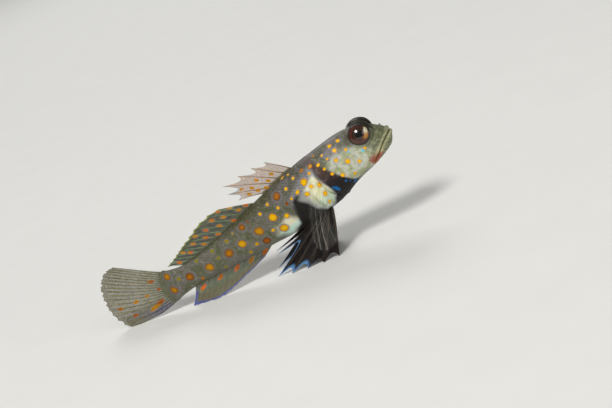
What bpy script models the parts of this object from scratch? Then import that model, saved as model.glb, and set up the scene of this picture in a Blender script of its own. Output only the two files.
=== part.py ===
"""Spotted shrimpgoby, a still life-size model that rests on its pelvic fins and its tail fin.

The fish is modelled straight, in millimetres, and then bent into its pose.
In the straight fish a point is (-station, side, height): the station is measured back from the snout along
the body's middle line, the side is positive on the fish's left, and the height is above the middle line.
Units of the finished objects are metres, +X towards the head, +Z up, with the floor at z = 0.
"""

import bisect
import math

import bmesh
import bpy
from mathutils import Vector

MM = 0.001
GAP = 0.3  # left between pieces that touch

# Main sizes
STANDARD_LENGTH = 70.0  # snout to the root of the tail fin
GILL_STATION = 20.6  # rear edge of the gill cover at its fullest
TAIL_STATION = 43.0  # where the torso ends and the tail begins
SNOUT_TIP = -0.4
SNOUT_ROUNDED_TO = 1.3
SNOUT_HEIGHT = 0.45
HEAD_SIDES = 36
RING_SIDES = 28


def smooth(*points):
    """A smooth function through points (x, value), level beyond its ends."""
    xs = [p[0] for p in points]
    values = [p[1] for p in points]
    last = len(points) - 1

    def slope(i):
        low, high = max(i - 1, 0), min(i + 1, last)
        return (values[high] - values[low]) / (xs[high] - xs[low])

    def value(x):
        x = min(max(x, xs[0]), xs[-1])
        i = min(bisect.bisect_right(xs, x), last) - 1
        span = xs[i + 1] - xs[i]
        t = (x - xs[i]) / span
        ends = values[i] * (2 * t + 1) * (1 - t) ** 2 + values[i + 1] * (3 - 2 * t) * t * t
        return ends + span * t * (1 - t) * (slope(i) * (1 - t) - slope(i + 1) * t)

    return value


# Outline of the body: back and belly from the middle line, and half the width, at stations in mm
BACK = smooth((0, 2.3), (1.3, 2.9), (3, 4.4), (5, 5.7), (8, 6.5), (12, 7.0), (20, 7.1), (26, 7.2),
              (34, 6.8), (40, 6.1), (48, 4.9), (56, 3.8), (62.5, 3.3), (66, 3.7), (70, 4.6))
BELLY = smooth((0, 1.7), (1.3, 2.5), (4, 3.7), (7.3, 4.6), (12, 5.2), (16, 5.8), (22, 6.9), (27, 6.9),
               (34, 6.0), (41, 4.8), (48, 4.1), (56, 3.4), (62.5, 3.0), (66, 3.4), (70, 4.4))
HALF_WIDTH = smooth((0, 2.55), (1.3, 3.1), (4, 4.0), (8, 4.8), (13, 5.3), (18, 5.3), (24, 4.8), (32, 4.3),
                    (40, 3.4), (50, 2.4), (60, 1.6), (66, 1.25), (70, 0.85))
# How full a section is: 1 is an ellipse, and less is fuller
SECTION_POWER = smooth((0, 1.0), (6, 0.96), (14, 0.86))
NARROWER_ABOVE = smooth((0, 0.05), (6, 0.3), (12, 0.2), (24, 0.05), (70, 0.0))

# Pose: how far the body points up, and how far the tail swings to the fish's left, in degrees
PITCH = smooth((-10, 8), (0, 8), (8, 11), (17, 16), (25, 19), (35, 16), (49, 12.5), (62, 9.5), (70, 4),
               (77, -4), (88, -9))
SWING = smooth((-10, 2), (0, 2), (20, 0), (40, -1), (55, 3), (70, 9), (88, 16))
SNOUT_X, SNOUT_Y, SNOUT_Z = 42.43, -0.33, 22.7
POSE_STEP = 0.25
POSE_FIRST, POSE_LAST = -12.0, 96.0


def make_pose():
    """The middle line of the bent fish, as (point, forward, left, up) at every POSE_STEP of station."""
    def frame(station):
        pitch, swing = math.radians(PITCH(station)), math.radians(SWING(station))
        forward = Vector((math.cos(pitch) * math.cos(swing), -math.sin(swing),
                          math.sin(pitch) * math.cos(swing)))
        up = (Vector((0, 0, 1)) - forward * forward.z).normalized()
        return forward, up.cross(forward), up

    snout = Vector((SNOUT_X, SNOUT_Y, SNOUT_Z))
    steps = round((POSE_LAST - POSE_FIRST) / POSE_STEP)
    stations = [POSE_FIRST + POSE_STEP * k for k in range(steps + 1)]
    points = [Vector((0, 0, 0))]
    for station in stations[:-1]:
        points.append(points[-1] - frame(station + POSE_STEP / 2)[0] * POSE_STEP)
    shift = snout - points[round(-POSE_FIRST / POSE_STEP)]
    return [(point + shift, *frame(station)) for point, station in zip(points, stations)]


POSE = make_pose()


def pose_frame(station):
    place = (min(max(station, POSE_FIRST), POSE_LAST - POSE_STEP) - POSE_FIRST) / POSE_STEP
    k = int(place)
    return [a.lerp(b, place - k) for a, b in zip(POSE[k], POSE[k + 1])]


def posed(point):
    """Where a point of the straight fish is in the bent one."""
    middle, _, left, up = pose_frame(-point.x)
    return middle + left * point.y + up * point.z


def floor_height(station, side):
    """The height above the middle line at which the floor lies, seen from the straight fish."""
    middle, _, left, up = pose_frame(station)
    return -(middle.z + left.z * side) / up.z


def signed_power(value, power):
    return math.copysign(abs(value) ** power, value)


def gill_shift(height):
    """How far ahead of its fullest point the gill cover's rear edge lies at a height."""
    above = height + 0.5
    return -0.04 * above * above if above > 0 else -0.085 * above * above


GILL_SWELL = smooth((6, 0), (GILL_STATION, 1), (36, 0))
GILL_STEP = 0.35  # the gill cover stands this far proud of the torso
GILL_STEP_FADES = smooth((GILL_STATION, 1.0), (GILL_STATION + 4, 0.0))


def body_point(station, angle, scale=1.0, is_torso=False):
    """A point of the skin, or inside it where scale is under 1. Angle 0 is the fish's left, 90 its back."""
    across, along_height = math.cos(angle), math.sin(angle)
    back, belly, half = BACK(station), BELLY(station), HALF_WIDTH(station)
    power = SECTION_POWER(station)
    if is_torso:
        half -= GILL_STEP * GILL_STEP_FADES(station)
    side = half * signed_power(across, power) * (1 - NARROWER_ABOVE(station) * along_height)
    height = (back if along_height > 0 else belly) * signed_power(along_height, power)
    if station < SNOUT_ROUNDED_TO:
        depth = (SNOUT_ROUNDED_TO - station) / (SNOUT_ROUNDED_TO - SNOUT_TIP)
        shrink = math.sqrt(max(0.0, 1 - depth * depth))
        side *= shrink
        height = SNOUT_HEIGHT + (height - SNOUT_HEIGHT) * shrink
    side *= scale
    height *= scale
    return Vector((-(station + GILL_SWELL(station) * gill_shift(height)), side, height))


def outside_body(point, margin):
    """True where a point of the straight fish is at least margin clear of the torso and tail."""
    station = -point.x - GILL_SWELL(-point.x) * gill_shift(point.z)
    half = HALF_WIDTH(station) + margin
    depth = (BACK(station) if point.z > 0 else BELLY(station)) + margin
    power = 2 / SECTION_POWER(station)
    return (abs(point.y) / half) ** power + (abs(point.z) / depth) ** power > 1


def new_object(name, bm):
    mesh = bpy.data.meshes.new(name)
    bmesh.ops.recalc_face_normals(bm, faces=bm.faces)
    if bm.calc_volume(signed=True) < 0:
        bmesh.ops.reverse_faces(bm, faces=bm.faces)
    bm.to_mesh(mesh)
    bm.free()
    obj = bpy.data.objects.new(name, mesh)
    bpy.context.scene.collection.objects.link(obj)
    return obj


def closed_loft(name, rings, first, last):
    """A closed body through rings of equal counts, with first and last the points that close its ends."""
    bm = bmesh.new()
    loops = [[bm.verts.new(p) for p in ring] for ring in rings]
    for here, there in zip(loops, loops[1:]):
        for k in range(len(here)):
            following = (k + 1) % len(here)
            bm.faces.new((here[k], here[following], there[following], there[k]))
    for loop, tip in ((loops[0], first), (loops[-1], last)):
        end = bm.verts.new(tip)
        for k in range(len(loop)):
            bm.faces.new((loop[k], loop[(k + 1) % len(loop)], end))
    return new_object(name, bm)


def body_rings(stations, is_torso=False, closes_front=True, closes_back=True, sides=RING_SIDES):
    """The rings of a length of body, with inner rings over each flat end."""
    def ring(station, scale=1.0):
        turns = [2 * math.pi * k / sides for k in range(sides)]
        return [body_point(station, turn, scale, is_torso) for turn in turns]

    inner = (0.7, 0.35)
    rings = [ring(station) for station in stations]
    if closes_front:
        rings = [ring(stations[0], scale) for scale in reversed(inner)] + rings
    if closes_back:
        rings = rings + [ring(stations[-1], scale) for scale in inner]
    return rings


def ball(name, centre, radii, axis=Vector((0, 0, 1)), segments=20, rows=12):
    """An ellipsoid, its third radius along axis."""
    bm = bmesh.new()
    bmesh.ops.create_uvsphere(bm, u_segments=segments, v_segments=rows, radius=1.0)
    turn = axis.to_track_quat("Z", "Y").to_matrix()
    for vert in bm.verts:
        vert.co = centre + turn @ Vector(r * c for r, c in zip(radii, vert.co))
    return new_object(name, bm)


def tube(name, path, radii, sides=8, turned=0.0, off_axis=Vector((0, 0, 1))):
    """A closed tube through the points of path, with a radius at each, turned by a part of a side. The
    path nowhere runs along off_axis."""
    rings = []
    for k, point in enumerate(path):
        along = (path[min(k + 1, len(path) - 1)] - path[max(k - 1, 0)]).normalized()
        across = along.cross(off_axis).normalized()
        over = across.cross(along)
        turns = [2 * math.pi * (j + turned) / sides for j in range(sides)]
        rings.append([point + (across * math.cos(t) + over * math.sin(t)) * radii[k] for t in turns])
    return closed_loft(name, rings, path[0], path[-1])


WELD = 0.006


def tidy_largest(obj):
    """Keeps only a mesh's largest closed surface, with its slivers merged away, in triangles."""
    bm = bmesh.new()
    bm.from_mesh(obj.data)
    left = set(bm.verts)
    pieces = []
    while left:
        piece, edge = set(), [left.pop()]
        while edge:
            vert = edge.pop()
            piece.add(vert)
            found = [e.other_vert(vert) for e in vert.link_edges]
            edge += [v for v in found if v in left]
            left -= set(found)
        pieces.append(piece)
    pieces.sort(key=len, reverse=True)
    bmesh.ops.delete(bm, geom=[v for piece in pieces[1:] for v in piece], context="VERTS")
    bmesh.ops.remove_doubles(bm, verts=bm.verts, dist=WELD)
    bmesh.ops.dissolve_degenerate(bm, edges=bm.edges, dist=WELD)
    bmesh.ops.triangulate(bm, faces=bm.faces)
    bm.to_mesh(obj.data)
    bm.free()


def combine(obj, others, operation):
    """Joins others to obj by UNION, or cuts them out of it by DIFFERENCE, and removes them."""
    group = bpy.data.collections.new("group")
    bpy.context.scene.collection.children.link(group)
    for other in others:
        group.objects.link(other)
    boolean = obj.modifiers.new("combine", "BOOLEAN")
    boolean.operation = operation
    boolean.operand_type = "COLLECTION"
    boolean.collection = group
    boolean.solver = "EXACT"
    mesh = bpy.data.meshes.new_from_object(obj.evaluated_get(bpy.context.evaluated_depsgraph_get()))
    obj.modifiers.clear()
    obj.data = mesh
    for other in others:
        bpy.data.objects.remove(other)
    bpy.data.collections.remove(group)
    tidy_largest(obj)
    return obj


# Eyes: two flattened balls high on the head, each in a raised fleshy orbit
EYE_STATION, EYE_SIDE, EYE_HEIGHT = 6.3, 2.95, 4.35
EYE_RADIUS, EYE_DEPTH = 2.85, 1.9
EYE_LOOKS = Vector((0.10, 0.93, 0.34))  # ahead, outwards and up
ORBIT_RADIUS, ORBIT_DEPTH = 3.5, 2.1
ORBIT_SUNK = 0.85  # the orbit is set back, so that the eye bulges out of it


def eye_shape(name, side, radius, depth, sunk=0.0):
    """A flattened ball about the eye's gaze on one side, set back along the gaze by sunk."""
    looks = Vector((EYE_LOOKS.x, EYE_LOOKS.y * side, EYE_LOOKS.z)).normalized()
    centre = Vector((-EYE_STATION, EYE_SIDE * side, EYE_HEIGHT)) - looks * sunk
    return ball(name, centre, (radius, radius, depth), looks)


# Mouth: the gape runs back and down from the snout's tip to below the eye
MOUTH_CORNER = 6.3
GAPE = smooth((-2, 1.5), (0, 0.95), (2, -0.1), (4, -1.5), (MOUTH_CORNER, -3.1))
JAW_BACK = ((7.3, -4.2), (8.2, -8.0))
LIP_RADIUS = 0.55


def skin_side(station, height):
    """Half the width of the head at a station and height."""
    depth = BACK(station) if height > 0 else BELLY(station)
    power = SECTION_POWER(station)
    share = min(abs(height) / depth, 0.98)
    across = (1 - share ** (2 / power)) ** (power / 2)
    narrowed = 1 - NARROWER_ABOVE(station) * signed_power(height / depth, 1 / power)
    side = HALF_WIDTH(station) * across * narrowed
    if station < SNOUT_ROUNDED_TO:
        ahead = (SNOUT_ROUNDED_TO - station) / (SNOUT_ROUNDED_TO - SNOUT_TIP)
        side *= math.sqrt(max(0.0, 1 - ahead * ahead))
    return side


def lip(name, above):
    """A lip from one corner of the mouth round the snout to the other, above the gape or below it."""
    steps = 7
    stations = [SNOUT_TIP + (MOUTH_CORNER - SNOUT_TIP) * (k / steps) ** 1.6 for k in range(steps + 1)]
    half_path, half_radii = [], []
    for k, station in enumerate(stations):
        radius = LIP_RADIUS * (1 - 0.45 * k / steps)
        height = GAPE(station) + above * radius * 0.8
        side = 0.0 if k == 0 else skin_side(station, height) - radius * 0.35
        half_path.append(Vector((-station - 0.15 * (k == 0), side, height)))
        half_radii.append(radius)
    mirrored = [Vector((p.x, -p.y, p.z)) for p in reversed(half_path[1:])]
    return tube(name, mirrored + half_path, half_radii[:0:-1] + half_radii)


def jaw_block(name, grown):
    """The space of the lower jaw, bounded above by the gape, larger by grown all round."""
    gape_stations = (-3.0, -1.0, 0.5, 2.0, 3.5, 5.0, MOUTH_CORNER)
    outline = [(station, GAPE(station) + grown) for station in gape_stations]
    outline += [(station + grown, height) for station, height in JAW_BACK]
    outline.append((-3.0, -8.0))
    reach = 9.0
    bm = bmesh.new()
    verts = [bm.verts.new((-station, -reach, height)) for station, height in outline]
    face = bm.faces.new(verts)
    swept = bmesh.ops.extrude_face_region(bm, geom=[face])["geom"]
    moved = [g for g in swept if isinstance(g, bmesh.types.BMVert)]
    bmesh.ops.translate(bm, verts=moved, vec=(0, 2 * reach, 0))
    return new_object(name, bm)


# Nostrils: a short tube above each side of the upper lip, and a pit before each eye
TUBE_NOSTRIL = (1.7, 2.55)  # station and height
PIT_NOSTRIL = (2.55, 3.2)


def out_of_skin(place, side, reach):
    """A short way out of the skin, from just under it, at a place given as station and height."""
    station, height = place
    root = Vector((-station, side * (skin_side(station, height) - 0.2), height))
    return [root, root + Vector((0.35, side * 0.75, 0.5)).normalized() * reach]


def nostril_tube(side):
    return tube("nostril", out_of_skin(TUBE_NOSTRIL, side, 0.8), [0.5, 0.38])


def nostril_bores(side):
    """The cutters for the front nostril's bore and for the rear pit."""
    bore = [p + Vector((0.12, side * 0.26, 0.17)) for p in out_of_skin(TUBE_NOSTRIL, side, 1.0)]
    pit = out_of_skin(PIT_NOSTRIL, side, 1.0)
    return [tube("bore", bore, [0.2, 0.2], turned=0.4), tube("pit", pit, [0.28, 0.34], turned=0.3)]


# Cheek: a shallow groove, as (station, height), runs round it ahead of the gill cover
CHEEK_GROOVE = ((11.6, 3.2), (13.6, 2.9), (15.3, 1.6), (16.0, -0.4), (15.5, -2.4), (14.0, -3.9), (11.8, -4.5))
CHEEK_GROOVE_RADII = (0.15, 0.3, 0.38, 0.4, 0.38, 0.3, 0.15)


def cheek_groove(side):
    """The cutter for the groove, centred in the skin."""
    path = []
    for station, height in CHEEK_GROOVE:
        shifted = station + GILL_SWELL(station) * gill_shift(height)
        path.append(Vector((-shifted, side * skin_side(station, height), height)))
    return tube("groove", path, CHEEK_GROOVE_RADII, sides=6, off_axis=Vector((0, 1, 0)))


HEAD_STATIONS = (-0.3, 0.0, 0.5, 1.3, 2.4, 3.8, 5.2, 6.8, 8.6, 10.6, 12.6, 14.6, 16.6, 18.6, GILL_STATION)
TORSO_STATIONS = (GILL_STATION + GAP, 22.3, 24, 26, 28.5, 31, 33.5, 36, 38.3, 40.6, TAIL_STATION)
TAIL_STATIONS = (TAIL_STATION + GAP, 46, 49, 52, 55, 58, 61, 64, 66.5, 68.6)


def head_shape(name):
    """The head with its lips, orbits and front nostrils, before anything is cut from it."""
    rings = body_rings(HEAD_STATIONS, closes_front=False, sides=HEAD_SIDES)
    nose = Vector((-SNOUT_TIP, 0, SNOUT_HEIGHT))
    middle = Vector((rings[-1][0].x, 0, 0))
    head = closed_loft(name, rings, nose, middle)
    pieces = [eye_shape("orbit", side, ORBIT_RADIUS, ORBIT_DEPTH, ORBIT_SUNK) for side in (1, -1)]
    pieces += [lip("upper_lip", 1), lip("lower_lip", -1)]
    pieces += [nostril_tube(side) for side in (1, -1)]
    return combine(head, pieces, "UNION")


def make_head():
    head = head_shape("head")
    cutters = [eye_shape("socket", side, EYE_RADIUS + GAP, EYE_DEPTH + GAP) for side in (1, -1)]
    cutters += nostril_bores(1) + nostril_bores(-1)
    cutters += [cheek_groove(side) for side in (1, -1)]
    cutters.append(jaw_block("jaw_space", GAP / 2))
    return combine(head, cutters, "DIFFERENCE")


def make_jaw():
    """The lower jaw: the part of the head under the gape."""
    jaw = jaw_block("lower_jaw", -GAP / 2)
    head = head_shape("whole_head")
    meet = jaw.modifiers.new("meet", "BOOLEAN")
    meet.operation = "INTERSECT"
    meet.object = head
    meet.solver = "EXACT"
    mesh = bpy.data.meshes.new_from_object(jaw.evaluated_get(bpy.context.evaluated_depsgraph_get()))
    jaw.modifiers.clear()
    jaw.data = mesh
    bpy.data.objects.remove(head)
    tidy_largest(jaw)
    return jaw


# Pectoral fins: each fans out of a fleshy lobe just behind the gill opening
LOBE_STATION, LOBE_HEIGHT = 22.9, -1.3
LOBE_RADII = (1.6, 1.5, 3.9)  # along the body, outwards, up
LOBE_SIDE = 4.2


def lobe(name, side):
    centre = Vector((-LOBE_STATION, LOBE_SIDE * side, LOBE_HEIGHT))
    return ball(name, centre, LOBE_RADII)


def outside_lobe(point, margin):
    apart = (-point.x - LOBE_STATION, abs(point.y) - LOBE_SIDE, point.z - LOBE_HEIGHT)
    return sum((a / (r + margin)) ** 2 for a, r in zip(apart, LOBE_RADII)) > 1


def make_torso():
    rings = body_rings(TORSO_STATIONS, is_torso=True)
    middles = [Vector((rings[k][0].x, 0, 0)) for k in (0, -1)]
    torso = closed_loft("torso", rings, *middles)
    return combine(torso, [lobe("lobe", side) for side in (1, -1)], "UNION")


def tail_end(height):
    """Station of the rounded root of the tail fin at a height."""
    return STANDARD_LENGTH + 0.4 - 0.07 * height * height


def make_tail():
    rings = body_rings(TAIL_STATIONS, closes_back=False)
    for scale, slimmer in ((1.0, 0.9), (0.9, 0.75), (0.5, 0.6)):
        last = [body_point(TAIL_STATIONS[-1], 2 * math.pi * k / RING_SIDES, scale)
                for k in range(RING_SIDES)]
        rings.append([Vector((-tail_end(p.z) + (0.25 if scale == 1 else 0), p.y * slimmer, p.z))
                      for p in last])
    front = Vector((rings[0][0].x, 0, 0))
    return closed_loft("tail", rings, front, Vector((-tail_end(0), 0, 0)))


# Fins. A fin is a sheet through its rays, with each ray a ridge raised in its surface.
MEMBRANE = 0.5
RIDGE = 0.95
RIDGE_AT_TIP = 0.6
RIDGE_HALF_WIDTH = 0.3


def ray_columns(count):
    """The columns of a fin as (ray, share of the way to the next ray, is crest)."""
    columns = []
    for ray in range(count - 1):
        columns += [(ray, 0.0, True), (ray, "foot", False), (ray, 0.5, False), (ray, "next foot", False)]
    return columns + [(count - 1, 0.0, True)]


def fin_point(line, column, share, notch):
    """The middle of the sheet in a column, at a share of the way out to its edge."""
    ray, place, _ = column
    if place == 0.0:
        return line(ray, share)
    spacing = max((line(ray + 1, share) - line(ray, share)).length, 1e-6)
    foot = min(0.3, RIDGE_HALF_WIDTH / spacing)
    across = {"foot": foot, "next foot": 1 - foot}.get(place, place)
    reach = share * (1 - notch(ray) * 4 * across * (1 - across))
    return line(ray, reach).lerp(line(ray + 1, reach), across)


def make_fin(name, line, count, rows, notch, is_clear=None, root_thickness=None):
    """A closed fin through count rays. line(ray, share) is a ray's middle line, notch(ray) how deeply the
    edge is cut after it, and is_clear tells where a surface point is far enough from what it grows from."""
    columns = ray_columns(count)

    def middle(c, share):
        return fin_point(line, columns[c], share, notch)

    def normal(c, share):
        low, high = max(c - 1, 0), min(c + 1, len(columns) - 1)
        inner, outer = max(share - 0.05, 0.0), min(share + 0.05, 1.0)
        across = middle(high, share) - middle(low, share)
        out = middle(c, outer) - middle(c, inner)
        return across.cross(out).normalized()

    def thickness(c, share):
        thick = MEMBRANE
        if columns[c][2]:
            thick = RIDGE + (RIDGE_AT_TIP - RIDGE) * share
        if root_thickness:
            thick += (root_thickness - thick) * max(0.0, 1 - share * 3.5) ** 2
        return thick

    def surface(c, share, face):
        return middle(c, share) + normal(c, share) * (face * thickness(c, share) / 2)

    def root_share(c, face):
        if is_clear is None:
            return 0.0
        low, high = 0.0, 0.6
        for _ in range(14):
            mid = (low + high) / 2
            low, high = (low, mid) if is_clear(surface(c, mid, face)) else (mid, high)
        return high

    bm = bmesh.new()
    faces = []
    for face in (1, -1):
        grid = []
        for c in range(len(columns)):
            root = root_share(c, face)
            shares = [root + (1 - root) * r / rows for r in range(rows + 1)]
            grid.append([bm.verts.new(settled(surface(c, s, face), s == 1.0)) for s in shares])
        faces.append(grid)
    upper, lower = faces
    last = len(columns) - 1
    for c in range(last):
        for r in range(rows):
            for grid in faces:
                a, b, d, e = grid[c][r], grid[c + 1][r], grid[c + 1][r + 1], grid[c][r + 1]
                bm.faces.new((a, b, d))
                bm.faces.new((a, d, e))
        for r in (0, rows):
            bm.faces.new((upper[c][r], upper[c + 1][r], lower[c + 1][r]))
            bm.faces.new((upper[c][r], lower[c + 1][r], lower[c][r]))
    for r in range(rows):
        for c in (0, last):
            bm.faces.new((upper[c][r], upper[c][r + 1], lower[c][r + 1]))
            bm.faces.new((upper[c][r], lower[c][r + 1], lower[c][r]))
    return new_object(name, bm)


FLOOR_SNAP = 0.55


def settled(point, is_edge):
    """A fin's point kept above the floor, with edge points that nearly reach the floor set flat on it."""
    floor = floor_height(-point.x, point.y)
    near = is_edge and abs(point.z - floor) < FLOOR_SNAP
    return Vector((point.x, point.y, floor if near else max(point.z, floor)))


def swept_fin(bases, lengths, sweeps, root, droop, wave):
    """A ray line for a fin in the fish's middle plane. Each ray leaves its base station at a sweep in
    degrees from the body, of a length, and curves back by droop degrees; wave is its sideways sway."""
    def line(ray, share):
        sweep = math.radians(sweeps(ray))
        bend = math.radians(droop) * share
        reach = lengths(ray) * share
        start = root(bases(ray))
        up = math.copysign(1.0, start)
        station = bases(ray) + reach * math.cos(sweep - bend)
        height = start + up * reach * math.sin(sweep - bend)
        return Vector((-station, wave(ray) * share * share, height))
    return line


def back_root(station):
    return BACK(station) + GAP


def belly_root(station):
    return -BELLY(station) - GAP


def make_first_dorsal():
    """Six slender spines, the fourth longest and free at its tip."""
    lengths = smooth((0, 6.6), (1, 8.6), (2, 10.6), (3, 13.2), (4, 10.6), (5, 6.4))
    sweeps = smooth((0, 58), (1, 51), (2, 44), (3, 37), (4, 32), (5, 26))
    line = swept_fin(lambda ray: 24.6 + 1.95 * ray, lengths, sweeps, back_root, 4,
                     lambda ray: 0.5 * math.sin(0.8 * ray))
    return make_fin("first_dorsal_fin", line, 6, 6, lambda ray: 0.26)


def make_second_dorsal():
    lengths = smooth((0, 4.8), (1, 7.5), (3, 9.4), (6, 8.9), (9, 6.9), (12, 4.1))
    sweeps = smooth((0, 32), (1, 39), (3, 35), (6, 27.5), (9, 24.5), (12, 25))
    line = swept_fin(lambda ray: 38.3 + 2.05 * ray, lengths, sweeps, back_root, 5,
                     lambda ray: 0.55 * math.sin(0.75 * ray + 1.0))
    return make_fin("second_dorsal_fin", line, 13, 4, lambda ray: 0.05)


def make_anal():
    lengths = smooth((0, 2.8), (1, 4.6), (4, 6.5), (8, 7.0), (12, 4.9))
    sweeps = smooth((0, 28), (1, 31), (4, 41), (8, 50), (12, 59))
    line = swept_fin(lambda ray: 41.6 + 1.8 * ray, lengths, sweeps, belly_root, 6,
                     lambda ray: -1.2 + 0.45 * math.sin(0.7 * ray))
    return make_fin("anal_fin", line, 13, 4, lambda ray: 0.04)


def make_caudal():
    """The rounded tail fin. Its lowest rays lie along the floor."""
    count = 17
    tip_station = smooth((0, 82.6), (0.15, 85.4), (0.35, 87.7), (0.55, 88.4), (0.75, 87.3), (0.9, 85.2),
                         (1, 82.4))
    tip_height = smooth((0, 9.4), (0.15, 8.2), (0.35, 5.6), (0.55, 2.2), (0.75, -2.0), (0.9, -5.6),
                        (1, -7.6))

    def line(ray, share):
        place = ray / (count - 1)
        height = 4.35 - 8.6 * place
        base = Vector((-tail_end(height) - GAP, 0, height))
        tip = Vector((-tip_station(place), 0.9 * math.sin(5 * place), tip_height(place)))
        flare = math.sin(math.pi * share) * 0.35 * (1 - 2 * place)
        return base.lerp(tip, share) + Vector((0, 0, flare))

    return make_fin("caudal_fin", line, count, 5, lambda ray: 0.04, root_thickness=1.3)


def make_pectoral(name, side):
    """A broad fan that hangs down and a little back, clear of the belly and the floor."""
    count = 15
    tip_station = smooth((0, 31.4), (0.3, 31.3), (0.6, 29.8), (0.85, 27.5), (1, 25.3))
    tip_height = smooth((0, -8.8), (0.3, -11.2), (0.6, -12.5), (0.85, -12.7), (1, -11.6))
    tip_side = smooth((0, 7.4), (0.5, 9.4), (1, 7.6))

    def line(ray, share):
        place = ray / (count - 1)
        height = LOBE_HEIGHT + 3.2 - 6.2 * place
        base = Vector((-LOBE_STATION - 0.2, side * LOBE_SIDE, height))
        tip = Vector((-tip_station(place), side * tip_side(place), tip_height(place)))
        bulge = math.sin(math.pi * share)
        return base.lerp(tip, share) + Vector((-0.4, side * 1.5, 0.6)) * bulge

    def is_clear(point):
        return outside_lobe(point, GAP) and outside_body(point, GAP)

    return make_fin(name, line, count, 5, lambda ray: 0.04, is_clear)


def make_pelvic(name, side):
    """A spine and five rays that spread over the floor and prop the fish up; the inmost ray is free."""
    tips = ((29.4, 6.0, None), (33.0, 6.4, None), (36.8, 6.0, None), (40.7, 5.1, None), (44.2, 3.2, None),
            (41.6, 1.6, -7.4))
    base_station = smooth((0, 22.8), (5, 25.6))
    base_side = smooth((0, 2.4), (5, 1.0))

    def line(ray, share):
        station, out, height = tips[ray]
        if height is None:
            height = floor_height(station, side * out)
        base = Vector((-base_station(ray), side * base_side(ray), -5.6))
        tip = Vector((-station, side * out, height))
        bulge = math.sin(math.pi * share)
        return base.lerp(tip, share) + Vector((0, side * 0.5, -0.2)) * bulge

    def is_clear(point):
        return outside_body(point, GAP)

    return make_fin(name, line, 6, 6, lambda ray: 0.45 if ray == 4 else 0.12, is_clear)


# Colours of the finished model
COLOURS = {
    "skin": (0.50, 0.50, 0.50),
    "jaw": (0.55, 0.52, 0.50),
    "eye": (0.16, 0.05, 0.03),
    "clear_fin": (0.55, 0.56, 0.48),
    "dark_fin": (0.04, 0.04, 0.05),
}
ROUGHNESS = {"skin": 0.35, "jaw": 0.35, "eye": 0.08, "clear_fin": 0.3, "dark_fin": 0.4}


def material(name):
    found = bpy.data.materials.get(name)
    if found:
        return found
    made = bpy.data.materials.new(name)
    made.use_nodes = True
    shader = made.node_tree.nodes["Principled BSDF"]
    shader.inputs["Base Color"].default_value = (*COLOURS[name], 1.0)
    shader.inputs["Roughness"].default_value = ROUGHNESS[name]
    shader.inputs["Metallic"].default_value = 0.0
    return made


def finish(obj, look):
    """Bends a straight piece into the pose, in metres, and gives it its material."""
    for vert in obj.data.vertices:
        vert.co = posed(vert.co) * MM
    obj.data.materials.clear()
    obj.data.materials.append(material(look))
    obj.data.shade_smooth()
    obj.data.set_sharp_from_angle(angle=math.radians(50))


def main():
    for obj in list(bpy.data.objects):
        bpy.data.objects.remove(obj)
    finish(make_head(), "skin")
    finish(make_jaw(), "jaw")
    finish(make_torso(), "skin")
    finish(make_tail(), "skin")
    for word, side in (("left", 1), ("right", -1)):
        finish(eye_shape(f"eye_{word}", side, EYE_RADIUS, EYE_DEPTH), "eye")
        finish(make_pectoral(f"pectoral_fin_{word}", side), "clear_fin")
        finish(make_pelvic(f"pelvic_fin_{word}", side), "dark_fin")
    for make in (make_first_dorsal, make_second_dorsal, make_anal, make_caudal):
        finish(make(), "clear_fin")


main()
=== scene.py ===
"""The looks of the spotted shrimpgoby: its skin, scales, eyes and fins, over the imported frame.

Shapes are worked out on the straight fish, in millimetres, as (station, side, height). The station runs
back from the snout along the middle line, the side is positive on the fish's left, and the height is
measured from the middle line. posed() bends them into the pose and gives metres in the frame.
"""

import math

import bpy
import numpy as np
from mathutils import Matrix, Vector


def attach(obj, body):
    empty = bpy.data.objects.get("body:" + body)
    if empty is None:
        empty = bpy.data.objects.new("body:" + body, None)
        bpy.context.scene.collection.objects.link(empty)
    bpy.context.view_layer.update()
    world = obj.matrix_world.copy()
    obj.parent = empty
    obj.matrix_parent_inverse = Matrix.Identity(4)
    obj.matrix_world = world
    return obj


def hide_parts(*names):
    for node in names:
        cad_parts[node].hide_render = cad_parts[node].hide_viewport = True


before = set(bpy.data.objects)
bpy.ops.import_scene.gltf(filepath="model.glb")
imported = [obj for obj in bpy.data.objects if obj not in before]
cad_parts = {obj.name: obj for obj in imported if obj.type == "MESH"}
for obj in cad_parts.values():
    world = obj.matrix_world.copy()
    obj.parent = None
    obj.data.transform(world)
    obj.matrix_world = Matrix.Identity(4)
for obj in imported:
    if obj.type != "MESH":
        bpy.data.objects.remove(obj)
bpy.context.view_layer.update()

MM = 0.001
GAP = 0.3
SEED = 11

# Outline of the body, as in the part. Profiles run from station to half height or half width
STANDARD_LENGTH = 70.0
GILL_STATION = 20.6
SNOUT_TIP = -0.4
SNOUT_ROUNDED_TO = 1.3
SNOUT_HEIGHT = 0.45
GILL_STEP = 0.35


def smooth(*points):
    """A smooth function through points (x, value), level beyond its ends, for numbers and arrays."""
    xs = np.array([p[0] for p in points], float)
    values = np.array([p[1] for p in points], float)
    high = np.minimum(np.arange(len(xs)) + 1, len(xs) - 1)
    low = np.maximum(np.arange(len(xs)) - 1, 0)
    slopes = (values[high] - values[low]) / (xs[high] - xs[low])

    def value(x):
        x = np.clip(x, xs[0], xs[-1])
        i = np.clip(np.searchsorted(xs, x, side="right") - 1, 0, len(xs) - 2)
        span = xs[i + 1] - xs[i]
        t = (x - xs[i]) / span
        ends = values[i] * (2 * t + 1) * (1 - t) ** 2 + values[i + 1] * (3 - 2 * t) * t * t
        return ends + span * t * (1 - t) * (slopes[i] * (1 - t) - slopes[i + 1] * t)

    return value


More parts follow.
